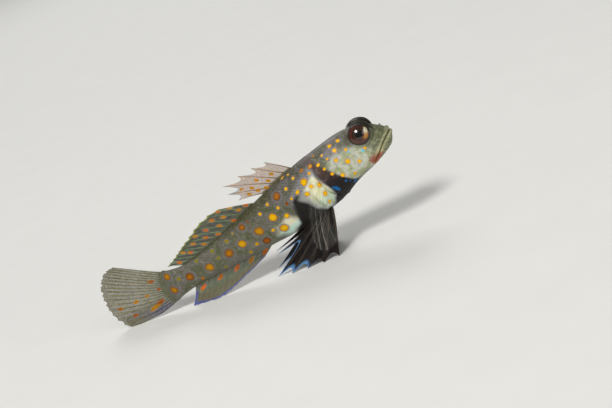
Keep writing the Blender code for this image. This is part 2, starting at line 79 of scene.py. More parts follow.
BACK = smooth((0, 2.3), (1.3, 2.9), (3, 4.4), (5, 5.7), (8, 6.5), (12, 7.0), (20, 7.1), (26, 7.2),
              (34, 6.8), (40, 6.1), (48, 4.9), (56, 3.8), (62.5, 3.3), (66, 3.7), (70, 4.6))
BELLY = smooth((0, 1.7), (1.3, 2.5), (4, 3.7), (7.3, 4.6), (12, 5.2), (16, 5.8), (22, 6.9), (27, 6.9),
               (34, 6.0), (41, 4.8), (48, 4.1), (56, 3.4), (62.5, 3.0), (66, 3.4), (70, 4.4))
HALF_WIDTH = smooth((0, 2.55), (1.3, 3.1), (4, 4.0), (8, 4.8), (13, 5.3), (18, 5.3), (24, 4.8), (32, 4.3),
                    (40, 3.4), (50, 2.4), (60, 1.6), (66, 1.25), (70, 0.85))
SECTION_POWER = smooth((0, 1.0), (6, 0.96), (14, 0.86))
NARROWER_ABOVE = smooth((0, 0.05), (6, 0.3), (12, 0.2), (24, 0.05), (70, 0.0))
GILL_SWELL = smooth((6, 0), (GILL_STATION, 1), (36, 0))
GILL_STEP_FADES = smooth((GILL_STATION, 1.0), (GILL_STATION + 4, 0.0))

# Pose, as in the part
PITCH = smooth((-10, 8), (0, 8), (8, 11), (17, 16), (25, 19), (35, 16), (49, 12.5), (62, 9.5), (70, 4),
               (77, -4), (88, -9))
SWING = smooth((-10, 2), (0, 2), (20, 0), (40, -1), (55, 3), (70, 9), (88, 16))
SNOUT = np.array((42.43, -0.33, 22.7))
POSE_STEP = 0.25
POSE_FIRST, POSE_LAST = -12.0, 96.0


def pose_directions(stations):
    """Forward, left and up of the bent middle line."""
    pitch, swing = np.radians(PITCH(stations)), np.radians(SWING(stations))
    forward = np.stack([np.cos(pitch) * np.cos(swing), -np.sin(swing), np.sin(pitch) * np.cos(swing)], 1)
    up = np.array((0.0, 0.0, 1.0)) - forward * forward[:, 2:]
    up /= np.linalg.norm(up, axis=1, keepdims=True)
    return forward, np.cross(up, forward), up


def make_pose():
    """The middle line of the bent fish, as rows of point, left and up."""
    steps = round((POSE_LAST - POSE_FIRST) / POSE_STEP)
    stations = POSE_FIRST + POSE_STEP * np.arange(steps + 1)
    forward = pose_directions(stations[:-1] + POSE_STEP / 2)[0]
    middle = np.vstack([np.zeros(3), np.cumsum(-forward * POSE_STEP, axis=0)])
    middle += SNOUT - middle[round(-POSE_FIRST / POSE_STEP)]
    _, left, up = pose_directions(stations)
    return np.hstack([middle, left, up])


POSE = make_pose()


def pose_at(station):
    place = (np.clip(station, POSE_FIRST, POSE_LAST - POSE_STEP) - POSE_FIRST) / POSE_STEP
    k = place.astype(int)
    share = (place - k)[..., None]
    row = POSE[k] * (1 - share) + POSE[k + 1] * share
    return row[..., :3], row[..., 3:6], row[..., 6:]


def posed(points):
    """Points of the straight fish, in mm, where they are in the bent one, in metres."""
    middle, left, up = pose_at(points[..., 0])
    return (middle + left * points[..., 1:2] + up * points[..., 2:3]) * MM


def floor_height(station, side):
    """The height above the middle line at which the floor lies."""
    middle, left, up = pose_at(np.asarray(station, float))
    return -(middle[..., 2] + left[..., 2] * side) / up[..., 2]


def bump(x, centre, width):
    return np.exp(-((x - centre) / width) ** 2)


def step(x, low, high):
    """0 below low, 1 above high and smooth between them, or the other way round where low is above."""
    t = np.clip((x - low) / (high - low), 0, 1)
    return t * t * (3 - 2 * t)


def unit(vectors):
    return vectors / np.maximum(np.linalg.norm(vectors, axis=-1, keepdims=True), 1e-9)


def circle(count):
    """Angles evenly round a circle."""
    return 2 * math.pi * np.arange(count) / count


def signed_power(value, power):
    return np.sign(value) * np.abs(value) ** power


def gill_shift(height):
    above = height + 0.5
    return np.where(above > 0, -0.04, -0.085) * above * above


def tail_end(height):
    """Station of the rounded root of the tail fin at a height."""
    return STANDARD_LENGTH + 0.4 - 0.07 * height * height


# Meshes


def new_piece(name, points, faces, material, values=None, uvs=None, straight=True):
    """A mesh piece from points (mm, of the straight fish, unless straight is False), with the painting
    values that its material reads, and its unwrap by face corner."""
    mesh = bpy.data.meshes.new(name)
    where = posed(points) if straight else points
    mesh.from_pydata(where.tolist(), [], faces)
    for key, numbers in (values or {}).items():
        is_vector = numbers.ndim == 2
        layer = mesh.attributes.new(key, "FLOAT_VECTOR" if is_vector else "FLOAT", "POINT")
        layer.data.foreach_set("vector" if is_vector else "value", numbers.astype(np.float32).ravel())
    if uvs is not None:
        layer = mesh.uv_layers.new(name="OFBake")
        layer.data.foreach_set("uv", uvs.astype(np.float32).ravel())
    mesh.materials.append(material)
    mesh.shade_smooth()
    piece = bpy.data.objects.new(name, mesh)
    bpy.context.scene.collection.objects.link(piece)
    return piece


def join_parts(parts):
    """One (points, faces, values) from several."""
    points, faces, values = [], [], {key: [] for key in parts[0][2]}
    count = 0
    for part_points, part_faces, part_values in parts:
        points.append(part_points)
        faces += [tuple(v + count for v in face) for face in part_faces]
        for key in values:
            values[key].append(part_values[key])
        count += len(part_points)
    return np.vstack(points), faces, {key: np.concatenate(rows) for key, rows in values.items()}


def grid_faces(rows, columns, wraps=False):
    """Quads of a grid of points in rows, which may close round its columns."""
    index = np.arange(rows * columns).reshape(rows, columns)
    following = np.roll(index, -1, axis=1)
    if not wraps:
        index, following = index[:, :-1], following[:, :-1]
    return np.stack([index[:-1], following[:-1], following[1:], index[1:]], -1).reshape(-1, 4).tolist()


def grid_border(index):
    """The places round the edge of a grid, in order."""
    return np.concatenate([index[0], index[1:, -1], index[-1, -2::-1], index[-2:0:-1, 0]])


def fan(first, count, hub, flipped=False):
    """Triangles from a closed ring of points to a hub."""
    ring = first + np.arange(count)
    following = np.roll(ring, -1)
    if flipped:
        ring, following = following, ring
    return [[a, b, hub] for a, b in zip(ring.tolist(), following.tolist())]


def grid_normals(grid, wraps=False):
    """Unit normals of a grid of points."""
    down = np.gradient(grid, axis=0)
    if wraps:
        along = np.roll(grid, -1, axis=1) - np.roll(grid, 1, axis=1)
    else:
        along = np.gradient(grid, axis=1)
    return unit(np.cross(along, down))


# Skin: one surface over the head, jaw, torso and tail

SKIN_ANGLES = 280
NOSE_RINGS = 34
FACE_STEP, HEAD_STEP, GILL_FINE_STEP, BODY_STEP = 0.09, 0.15, 0.08, 0.42
FACE_TO, GILL_FINE_FROM, GILL_FINE_TO = 9.8, 19.8, 22.2
TAIL_ROUNDED_FROM = 67.6
TAIL_NARROWS = 0.88  # of its width, towards the rounded end
TAIL_RINGS = 14


def skin_rings():
    """The station of each ring of the skin, closest round the nose and at the gill opening."""
    turns = np.linspace(0.05, 1, NOSE_RINGS) * math.pi / 2
    nose = SNOUT_ROUNDED_TO - (SNOUT_ROUNDED_TO - SNOUT_TIP) * np.cos(turns)
    face = np.arange(SNOUT_ROUNDED_TO + FACE_STEP, FACE_TO, FACE_STEP)
    head = np.arange(FACE_TO, GILL_FINE_FROM, HEAD_STEP)
    gill = np.arange(GILL_FINE_FROM, GILL_FINE_TO, GILL_FINE_STEP)
    body = np.arange(GILL_FINE_TO, TAIL_ROUNDED_FROM, BODY_STEP)
    tail = np.linspace(TAIL_ROUNDED_FROM, tail_end(0), TAIL_RINGS)
    return np.concatenate([nose, face, head, gill, body, tail])


RINGS = skin_rings()
ANGLES = circle(SKIN_ANGLES)

EYE_CENTRE = np.array((6.3, 2.95, 4.35))
EYE_RADIUS, EYE_DEPTH = 2.85, 1.9
EYE_LEVEL = math.radians(34)
HOOD_FROM = 0.62  # of the eye's radius, above its middle
EYE_LOOKS = unit(np.array((-0.10, 0.93, 0.34)))
ORBIT_RADIUS, ORBIT_DEPTH, ORBIT_SUNK = 3.5, 2.1, 0.85
LOBE_CENTRE = np.array((22.9, 4.2, -1.3))
LOBE_RADII = np.array((1.6, 1.5, 3.9))
MIRROR = np.array((1.0, -1.0, 1.0))


def plain_body(ring, angle):
    """The body as (station, side, height), before the orbits and the fins' lobes swell it."""
    across, upward = np.cos(angle), np.sin(angle)
    power = SECTION_POWER(ring)
    behind_gill = step(ring, GILL_STATION, GILL_STATION + 0.35)
    half = HALF_WIDTH(ring) - GILL_STEP * GILL_STEP_FADES(ring) * behind_gill
    side = half * signed_power(across, power) * (1 - NARROWER_ABOVE(ring) * upward)
    height = np.where(upward > 0, BACK(ring), BELLY(ring)) * signed_power(upward, power)
    ahead = np.clip((SNOUT_ROUNDED_TO - ring) / (SNOUT_ROUNDED_TO - SNOUT_TIP), 0, 1)
    shrink = np.sqrt(1 - ahead ** 2)
    height = SNOUT_HEIGHT + (height - SNOUT_HEIGHT) * shrink
    past = np.clip((ring - TAIL_ROUNDED_FROM) / (tail_end(0) - TAIL_ROUNDED_FROM), 0, 1)
    station = ring + GILL_SWELL(ring) * gill_shift(height) + past * (tail_end(height) - tail_end(0))
    return np.stack([station, side * shrink * (1 - TAIL_NARROWS * past ** 1.4), height], -1)


def swollen(points, centre, shape, blend):
    """Points pushed out from the middle line to an ellipsoid, where that is further, blended over a
    width in mm. shape turns a point from the centre into the ellipsoid's unit ball."""
    hub = points * np.array((1.0, 0.0, 0.0)) + np.array((0.0, 0.0, 0.5))
    ray = points - hub
    ray_in, centre_in = ray @ shape, (centre - hub) @ shape
    a = np.maximum((ray_in ** 2).sum(-1), 1e-9)
    b = (ray_in * centre_in).sum(-1)
    d = b * b - a * ((centre_in ** 2).sum(-1) - 1)
    limb = (b + np.where(d > 0, 1.0, -1.5) * np.sqrt(np.abs(d))) / a
    width = blend / np.maximum(np.linalg.norm(ray, axis=-1), 0.3)
    share = np.clip(0.5 + 0.5 * (limb - 1) / width, 0, 1)
    reach = 1 + (limb - 1) * share + width * share * (1 - share)
    return hub + ray * reach[..., None]


def spheroid(looks, radius, depth):
    """The shape of a ball flattened along a direction."""
    return np.eye(3) / radius + np.outer(looks, looks) * (1 / depth - 1 / radius)


# The gape runs back and down from the snout's tip to below the eye
MOUTH_CORNER = 6.3
GAPE = smooth((-2, 1.5), (0, 0.95), (2, -0.1), (4, -1.5), (MOUTH_CORNER, -3.1), (8.5, -4.6))
GAPE_LEAN = 0.84  # a height across the gape, measured square to it
CHEEK_GROOVE = ((11.6, 3.2), (13.6, 2.9), (15.3, 1.6), (16.0, -0.4), (15.5, -2.4), (14.0, -3.9),
                (11.8, -4.5))
JAW_FOLD = ((2.6, 1.15), (4.0, 0.35), (5.6, -0.75), (7.2, -2.1), (8.0, -3.4), (7.7, -4.5))
TUBE_NOSTRIL = (1.7, 2.55)
PIT_NOSTRIL = (2.55, 3.2)
THROAT_FOLDS = (-68, -59, -50, -41)  # degrees round the body, on the left
PORES = ((4.1, 5.3), (9.6, 5.4), (12.2, 4.6), (14.6, 4.7), (17.0, 4.9), (8.8, 1.6), (13.2, -1.8),
         (15.0, 0.9))
# Swellings and pits, as (height of the swelling, place, radius)
HEAD_FORMS = ((0.22, (11.2, -0.6), 2.9), (0.18, (18.2, -0.8), 2.0), (0.16, TUBE_NOSTRIL, 0.5),
              (0.1, PIT_NOSTRIL, 0.4), (-0.42, PIT_NOSTRIL, 0.17))
for rim_rise, rim_radius in ((0.05, 0.34), (-0.2, 0.14)):
    HEAD_FORMS += tuple((rim_rise, pore, rim_radius) for pore in PORES)


def curve_points(corners, per_span=10):
    """A smooth line of points through corners."""
    count = len(corners)
    at = np.linspace(0, count - 1, (count - 1) * per_span + 1)
    return np.stack([smooth(*[(k, c[n]) for k, c in enumerate(corners)])(at) for n in (0, 1)], 1)


def line_distance(station, height, corners):
    """How far places are from a line, and how far along it, from 0 to 1, the nearest point is."""
    line = curve_points(corners)
    nearest = np.full(station.shape, 99.0)
    along = np.zeros(station.shape)
    for k, (line_station, line_height) in enumerate(line):
        apart = np.hypot(station - line_station, height - line_height)
        closer = apart < nearest
        nearest[closer] = apart[closer]
        along[closer] = k / (len(line) - 1)
    return nearest, along


def fold(station, height, corners, depth, width):
    """A groove of a depth along a line, which fades at both ends."""
    apart, along = line_distance(station, height, corners)
    return depth * bump(apart, 0, width) * np.sin(math.pi * np.clip(along, 0.04, 0.96)) ** 0.5


def mouth_relief(station, height):
    """Lips to each side of the gape, the gape itself, and the creases that set the lips off."""
    apart = (height - GAPE(station)) * GAPE_LEAN
    lips = 0.34 * bump(apart, 0.55, 0.36) + 0.32 * bump(apart, -0.52, 0.34)
    creases = 0.14 * bump(apart, 1.24, 0.19) + 0.1 * bump(apart, -1.16, 0.2)
    gape = 0.5 * bump(apart, 0.02, 0.15)
    fades = step(station, 6.9, 4.6)
    return (lips - creases) * fades - gape * step(station, 7.3, 6.2)


def eye_frame(side):
    """Where an eye is, where it looks, and the directions ahead and up across its face, kept level as
    the head is raised."""
    away = np.array((1.0, side, 1.0))
    looks = EYE_LOOKS * away
    raised_head = unit(np.array((-math.sin(EYE_LEVEL), 0.0, math.cos(EYE_LEVEL))))
    above = unit(raised_head - looks * (raised_head @ looks))
    ahead = np.cross(above, looks)
    return EYE_CENTRE * away, looks, ahead * -np.sign(ahead[0]), above


def from_eye(points, side):
    """Places as (ahead, above, out) of an eye's centre."""
    centre, looks, ahead, above = eye_frame(side)
    return (points - centre) @ np.stack([ahead, above, looks], -1)


def eye_relief(points):
    """The skin round each eye, raised, with a crease beyond it, and the socket under the eye."""
    amount = np.zeros(points.shape[:-1])
    for side in (1, -1):
        ahead, above, out = np.moveaxis(from_eye(points, side), -1, 0)
        off_axis = np.hypot(ahead, above)
        is_near = step(out, -1.4, -0.6)
        rim = 0.08 * bump(off_axis, 3.05, 0.22) - 0.12 * bump(off_axis, 3.55, 0.2)
        amount += is_near * (rim - 0.5 * step(off_axis, 2.8, 2.45))
    return amount


def gill_relief(ring, points):
    """The gill cover's thickened edge and the opening behind it, closed over the nape and throat."""
    side, height = np.abs(points[..., 1]), points[..., 2]
    open_here = step(height, 5.0, 3.0) * step(side, 0.7, 1.8)
    behind = ring - GILL_STATION
    edge = 0.16 * bump(behind, -0.45, 0.4) - 0.62 * bump(behind, 0.24, 0.17)
    return open_here * edge


def throat_relief(ring, angle):
    """Folds of the gill membrane along the underside of the head."""
    amount = np.zeros(np.broadcast(ring, angle).shape)
    fades = step(ring, 8.5, 11) * step(ring, 19.6, 18)
    for degrees in THROAT_FOLDS:
        lie = math.radians(degrees) + (ring - 14) * 0.012
        from_fold = np.minimum(np.abs(angle - lie - 2 * math.pi), np.abs(math.pi - angle - lie))
        amount -= 0.11 * bump(from_fold * 5.6, 0, 0.15) * fades
    return amount


def relief(ring, angle, points):
    """How far the skin stands out from the swollen body, in mm."""
    station, height = points[..., 0], points[..., 2]
    amount = mouth_relief(station, height) + eye_relief(points) + gill_relief(ring, points)
    amount += throat_relief(ring, angle)
    amount += fold(station, height, CHEEK_GROOVE, -0.26, 0.26)
    amount += fold(station, height, JAW_FOLD, -0.15, 0.2)
    for rise, place, radius in HEAD_FORMS:
        amount += rise * bump(np.hypot(station - place[0], height - place[1]), 0, radius)
    side_line = step(station, 25, 30) * step(station, 69, 66)
    return amount - 0.07 * bump(height, 0.35, 0.3) * side_line


def skin_grid():
    """The skin's points and normals, in rings of SKIN_ANGLES."""
    ring, angle = np.meshgrid(RINGS, ANGLES, indexing="ij")
    grid = plain_body(ring, angle)
    looks = EYE_LOOKS * ORBIT_SUNK
    for side in (np.ones(3), MIRROR):
        orbit = spheroid(EYE_LOOKS * side, ORBIT_RADIUS, ORBIT_DEPTH)
        grid = swollen(grid, (EYE_CENTRE - looks) * side, orbit, 0.55)
        grid = swollen(grid, LOBE_CENTRE * side, np.diag(1 / LOBE_RADII), 0.7)
    normals = grid_normals(grid, wraps=True)
    outward = (normals * (grid - grid.mean(axis=1, keepdims=True))).sum(-1).mean()
    normals *= np.sign(outward)
    grid = grid + normals * relief(ring, angle, grid)[..., None]
    final = grid_normals(grid, wraps=True) * np.sign(outward)
    return grid, final


SKIN, SKIN_NORMALS = skin_grid()

# Markings: spots on the near side, as (station, height, radius) and, for some, how dull they are from 0
# to 1, and lines round patches

YELLOW_SPOTS = ((13.7, 6.1, 0.5), (13.1, 4.7, 0.55), (10.9, 3.4, 0.45), (6.8, 1.0, 0.4),
                (14.1, 2.7, 0.55), (12.0, 0.9, 0.65), (9.6, -0.7, 0.5), (15.8, 4.2, 0.35),
                (16.4, 5.6, 0.35), (18.2, 6.5, 0.35, 0.6), (11.5, 6.0, 0.45), (18.3, 4.4, 0.5),
                (20.1, 5.2, 0.62, 0.6), (17.6, 2.7, 0.42), (16.9, 0.7, 0.5), (15.0, -1.1, 0.5),
                (12.4, -2.7, 0.45), (22.4, 5.7, 0.55, 0.8), (21.5, 4.2, 0.45), (27.4, 7.0, 0.6),
                (25.9, 6.9, 0.4), (25.2, 5.6, 0.5), (23.8, 3.4, 0.9), (22.8, 1.6, 0.55),
                (21.2, 0.4, 0.62), (21.6, -2.0, 0.72), (25.0, 0.6, 0.64), (26.7, 2.7, 0.6),
                (28.3, 4.9, 0.5), (22.0, -4.3, 0.58), (31.4, 4.9, 1.0, 0.9), (28.6, 2.2, 0.4),
                (30.3, 2.1, 0.5, 1), (34.9, 4.8, 0.45), (33.1, 2.6, 0.5), (37.8, 4.1, 0.5),
                (35.6, 1.5, 1.05), (32.6, -0.3, 0.65), (41.4, 4.1, 0.4, 1), (35.4, -2.4, 1.0),
                (37.6, -1.1, 0.5), (43.8, 3.9, 0.82, 0.9), (40.8, 0.7, 1.12, 0.6),
                (40.6, -2.5, 0.95, 1), (46.4, 3.9, 0.35), (46.0, 0.5, 1.0, 0.35), (43.4, -1.7, 0.5),
                (49.0, 3.1, 0.5), (45.8, -2.6, 0.55), (50.2, 0.3, 1.1, 0.8), (53.6, 3.0, 0.57),
                (53.4, 0.7, 0.48), (53.2, -2.3, 0.5), (56.6, -0.1, 1.05, 0.5), (58.6, 2.8, 0.5),
                (59.8, -1.8, 0.5, 0.7), (62.4, 0.2, 1.05, 0.9), (65.6, 1.0, 0.55),
                (68.2, -1.2, 1.0, 0.7), (68.2, 2.7, 0.9, 0.4))
BLUE_SPOTS = ((7.6, 0.9, 0.38), (10.5, 2.6, 0.24), (13.6, -4.6, 0.48), (15.4, -2.9, 0.34),
              (14.5, -3.5, 0.24), (18.9, -2.0, 0.26), (18.8, -2.3, 0.34), (18.65, -2.65, 0.38),
              (18.5, -3.0, 0.39), (18.3, -3.4, 0.34), (18.1, -3.75, 0.26))
BAND = ((18.9, 7.6), (18.6, 5.2), (18.2, 4.0), (17.4, 2.6), (16.5, 0.8), (15.7, -0.9), (14.8, -2.6),
        (12.8, -3.8), (11.8, -5.6), (17.0, -7.4), (22.0, -7.4), (20.6, -5.6), (19.9, -4.2),
        (19.9, -1.6), (19.7, 1.2), (20.3, 3.0), (20.9, 5.2), (21.0, 7.6))
PALE_LOBE = ((27.3, 0.9), (26.4, -1.1), (25.3, -3.6), (23.6, -5.5), (22.2, -5.8), (20.8, -5.7),
             (20.2, -4.2), (20.1, -1.5), (20.3, 1.3), (21.1, 3.0), (22.5, 3.2), (25.2, 2.1))
BLACK_PATCH = ((27.0, 1.6), (28.6, 1.6), (29.9, 0.2), (30.6, -2.0), (31.6, -4.4), (34.5, -7.4),
               (22.6, -7.4), (23.8, -5.9), (25.7, -4.0), (26.6, -1.4))
WHITE_PATCH = ((31.2, -2.2), (31.7, -4.3), (34.6, -5.2), (37.4, -3.2), (36.6, -1.2), (33.6, -0.8))
RED_MOUTH = ((3.9, -2.5), (5.0, -1.8), (6.6, -1.6), (8.0, -2.2), (7.4, -3.4), (5.8, -4.2),
             (4.6, -3.6))
PALE_CHEEK = ((5.6, -0.4), (7.0, 1.4), (9.6, 2.4), (13.0, 3.3), (15.9, 3.1), (15.9, -0.2),
              (14.2, -2.6), (11.8, -3.8), (8.0, -3.6))
MARK_REACH = 3.0
FAR_SIDE_WANDER = 0.55  # of a spot from its place on the near side


def patch(station, height, corners):
    """How far places lie inside an outline, in mm, negative outside it."""
    nearest = np.full(station.shape, MARK_REACH)
    inside = np.zeros(station.shape, bool)
    for k, (s0, h0) in enumerate(corners):
        s1, h1 = corners[(k + 1) % len(corners)]
        run, rise = s1 - s0, h1 - h0
        share = np.clip(((station - s0) * run + (height - h0) * rise) / (run * run + rise * rise), 0, 1)
        nearest = np.minimum(nearest, np.hypot(station - s0 - run * share, height - h0 - rise * share))
        crosses = (h0 > height) != (h1 > height)
        with np.errstate(divide="ignore", invalid="ignore"):
            at = s0 + run * (height - h0) / (rise if rise else 1e-9)
        inside ^= crosses & (station < at)
    return np.where(inside, nearest, -nearest)


def waver(points, size, amount):
    """Places moved by a gentle, fixed unevenness of a size in mm, so that marks have uneven edges."""
    s, y, h = (points[..., n] / size for n in range(3))
    moved = np.stack([np.sin(2.1 * h + 1.3 * y) + np.sin(3.7 * s - 1.9 * h),
                      0 * s,
                      np.sin(2.6 * s + 0.7) + np.sin(3.1 * h + 2.3 * s)], -1)
    return points + moved * (amount / 2)


def half_skin(side):
    """The points and normals of one side of the skin."""
    half = SKIN[..., 1] * side > 0
    return SKIN[half], SKIN_NORMALS[half]


def on_skin(spots, side, wander):
    """Centres of spots on the skin of one side. On the far side each is a little elsewhere."""
    draw = np.random.default_rng(SEED)
    skin, normals = half_skin(side)
    centres = []
    for station, height, radius, *dull in spots:
        s, h = np.array((station, height)) + draw.normal(0, 1, 2) * wander
        outer = np.abs(skin[:, 1]) + 0.2 * np.abs(normals[:, 1])
        apart = np.hypot(skin[:, 0] - s, skin[:, 2] - h) - 0.02 * outer
        centres.append((skin[apart.argmin()], radius, dull[0] if dull else 0))
    return centres


def nearest_mark(points, spots):
    """How close each place is to a spot: 1 at a spot's centre, 0 on its edge. Also that spot's radius and
    how dull it is."""
    best = np.full(len(points), -2.0)
    radii, dullness = np.zeros(len(points)), np.zeros(len(points))
    for side, wander in ((-1, 0.0), (1, FAR_SIDE_WANDER)):
        for centre, radius, dull in on_skin(spots, side, wander):
            close = 1 - np.linalg.norm(points - centre, axis=1) / radius
            nearer = close > best
            best[nearer] = close[nearer]
            radii[nearer] = radius
            dullness[nearer] = dull
    return best, radii, dullness


def hood(points):
    """How far places lie inside the dark dome over either eye, in mm, with a pale streak left in it."""
    inside = np.full(len(points), -MARK_REACH)
    for side in (1, -1):
        ahead, above, out = from_eye(points, side).T
        edges = (above - HOOD_FROM * EYE_RADIUS, 3.55 - np.hypot(ahead, above), out + 2.6)
        dome = np.minimum.reduce(edges)
        streak = bump(np.hypot((ahead + 0.5) / 0.95, (above - 2.95) / 0.3), 0, 1)
        inside = np.maximum(inside, dome - 0.42 * streak)
    return inside


def markings(points, scale_rim=None):
    """Everything that the skin's material reads, at points of the skin or its scales."""
    moved = waver(points, 1.1, 0.12)
    station, _, height = waver(points, 2.4, 0.5).T
    spot, radii, dull = nearest_mark(moved, YELLOW_SPOTS)
    blue = nearest_mark(moved, BLUE_SPOTS)[0]
    gape = np.abs(points[..., 2] - GAPE(points[..., 0])) + 3 * step(points[..., 0], 6.6, 7.6)
    return {
        "lie": points,
        "spot": spot,
        "ring": np.maximum(step(radii, 0.5, 0.9), dull) * step(points[..., 0], 25, 33),
        "dull": dull,
        "blue": blue,
        "band": patch(station, height, BAND),
        "belly_patch": patch(station, height, BLACK_PATCH),
        "lobe": patch(station, height, PALE_LOBE),
        "white": patch(station, height, WHITE_PATCH),
        "red": patch(station, height, RED_MOUTH) - 3 * step(np.abs(points[..., 1]), 3.2, 2.2),
        "hood": hood(points),
        "cheek": patch(station, height, PALE_CHEEK),
        "gape": gape,
        "rim": np.zeros(len(points)) if scale_rim is None else scale_rim,
    }


# Painting


def colour(red, green, blue):
    """A linear colour from 0 to 255 display values."""
    values = []
    for value in (red, green, blue):
        share = value / 255
        values.append(share / 12.92 if share <= 0.04045 else ((share + 0.055) / 1.055) ** 2.4)
    return (*values, 1.0)


class Paint:
    """One material's nodes. Each method adds a node and gives its output. Colours run from 0 to 255."""

    def __init__(self, name):
        self.material = bpy.data.materials.new(name)
        self.material.use_nodes = True
        self.tree = self.material.node_tree
        self.shader = self.tree.nodes["Principled BSDF"]

    def put(self, socket, value):
        """Gives a socket a number, another node's output, the name of a painting value, or a colour."""
        if isinstance(value, str):
            value = self.value(value)
        if isinstance(value, bpy.types.NodeSocket):
            self.tree.links.new(value, socket)
        elif socket.type == "RGBA":
            socket.default_value = colour(*value)
        else:
            socket.default_value = value

    def fill(self, node, inputs):
        """Sets a node's sockets, named with _ for each space."""
        for name, value in inputs.items():
            self.put(node.inputs[name.replace("_", " ")], value)

    def finish(self, **inputs):
        self.fill(self.shader, inputs)

    def add(self, kind, **inputs):
        node = self.tree.nodes.new("ShaderNode" + kind)
        self.fill(node, inputs)
        return node

    def value(self, name, output="Fac"):
        """A painting value, by its name."""
        node = self.add("Attribute")
        node.attribute_name = name
        return node.outputs[output]

    def vector(self, name):
        return self.value(name, "Vector")

    def noise(self, vector, scale, detail=3.0, stretch=None, turn=0.0):
        """Noise, which may be turned about the side axis and made finer by a factor on each axis."""
        if stretch:
            turned = self.add("Mapping", Vector=vector, Rotation=(0.0, turn, 0.0),
                              Scale=[1 / factor for factor in stretch])
            turned.vector_type = "TEXTURE"
            vector = turned.outputs["Vector"]
        return self.add("TexNoise", Vector=vector, Scale=scale, Detail=detail).outputs["Fac"]

    def noise_shift(self, vector, scale, amount):
        """A vector moved about by noise, so that what is drawn with it wanders."""
        moved = self.add("VectorMath")
        moved.operation = "MULTIPLY_ADD"
        noise = self.add("TexNoise", Vector=vector, Scale=scale).outputs["Color"]
        for socket, value in zip(moved.inputs, (noise, (amount, amount, amount), vector)):
            self.put(socket, value)
        return moved.outputs["Vector"]

    def net(self, vector, scale):
        """Distance from the walls of a net of cells."""
        cells = self.add("TexVoronoi")
        cells.feature = "DISTANCE_TO_EDGE"
        self.fill(cells, {"Vector": vector, "Scale": scale})
        return cells.outputs["Distance"]

    def math(self, operation, first, second):
        node = self.add("Math")
        node.operation = operation
        self.put(node.inputs[0], first)
        self.put(node.inputs[1], second)
        return node.outputs["Value"]

    def times(self, first, second):
        return self.math("MULTIPLY", first, second)

    def larger(self, first, second):
        return self.math("MAXIMUM", first, second)

    def fade(self, value, low, high, first=0.0, last=1.0):
        """first below low, last above high and smooth between them. low may be the larger of the two."""
        node = self.add("MapRange", Value=value, From_Min=low, From_Max=high, To_Min=first, To_Max=last)
        node.interpolation_type = "SMOOTHSTEP"
        return node.outputs["Result"]

    def mix(self, share, first, second):
        node = self.add("Mix")
        node.data_type = "RGBA"
        for key, value in (("Factor_Float", share), ("A_Color", first), ("B_Color", second)):
            self.put(next(s for s in node.inputs if s.identifier == key), value)
        return next(s for s in node.outputs if s.identifier == "Result_Color")

    def over(self, look, tint, value, low, high, most=1.0):
        """A tint laid over a look: none of it below low, and a share of most above high."""
        return self.mix(self.fade(value, low, high, 0.0, most), look, tint)

    def split(self, vector):
        return self.add("SeparateXYZ", Vector=vector).outputs

    def bump(self, height, distance, strength):
        return self.add("Bump", Strength=strength, Distance=distance, Height=height).outputs["Normal"]


def ground_tint(paint, lie, station, height):
    """Mottled grey-lavender and olive, dark over the back, pale on the belly and cheek."""
    broad, fine = paint.noise(lie, 0.38, 3), paint.noise(lie, 1.5, 4)
    pale_net = paint.fade(paint.net(paint.noise_shift(lie, 0.9, 0.8), 1.6), 0.1, 0.0, 0.0, 0.1)
    look = paint.mix(paint.fade(broad, 0.42, 0.6), (121, 117, 108), (102, 107, 76))
    look = paint.over(look, (74, 72, 42), height, 2.4, 6.2, 0.85)
    look = paint.over(look, (150, 146, 142), height, -2.4, -5.4, 0.6)
    shoulder = paint.times(paint.fade(station, 37, 27), paint.fade(broad, 0.6, 0.4, 0.15, 0.6))
    look = paint.mix(shoulder, look, (136, 132, 138))
    look = paint.over(look, (160, 160, 168), "lobe", -2.9, -0.9, 0.85)
    cheek = paint.mix(paint.fade(paint.noise(lie, 0.8, 3), 0.44, 0.62), (202, 204, 188), (172, 178, 134))
    look = paint.over(look, cheek, "cheek", -1.7, 0.7, 0.94)
    look = paint.over(look, (96, 100, 70), station, 7.4, 3.4, 0.9)
    streaks = paint.fade(paint.noise(lie, 1.1, 3, (0.7, 1.0, 2.6)), 0.46, 0.64, 0.0, 0.6)
    before_eye = paint.times(paint.fade(station, 7.4, 4.4), paint.fade(height, 3.2, 0.4))
    look = paint.mix(paint.times(streaks, before_eye), look, (178, 182, 140))
    look = paint.over(look, (184, 186, 160), fine, 0.52, 0.72, 0.32)
    look = paint.over(look, (74, 72, 60), fine, 0.48, 0.3, 0.4)
    return paint.mix(pale_net, look, (70, 66, 62))


FIN_RAYS_LEAN = math.radians(42)  # of the pectoral fins' rays, back from straight down


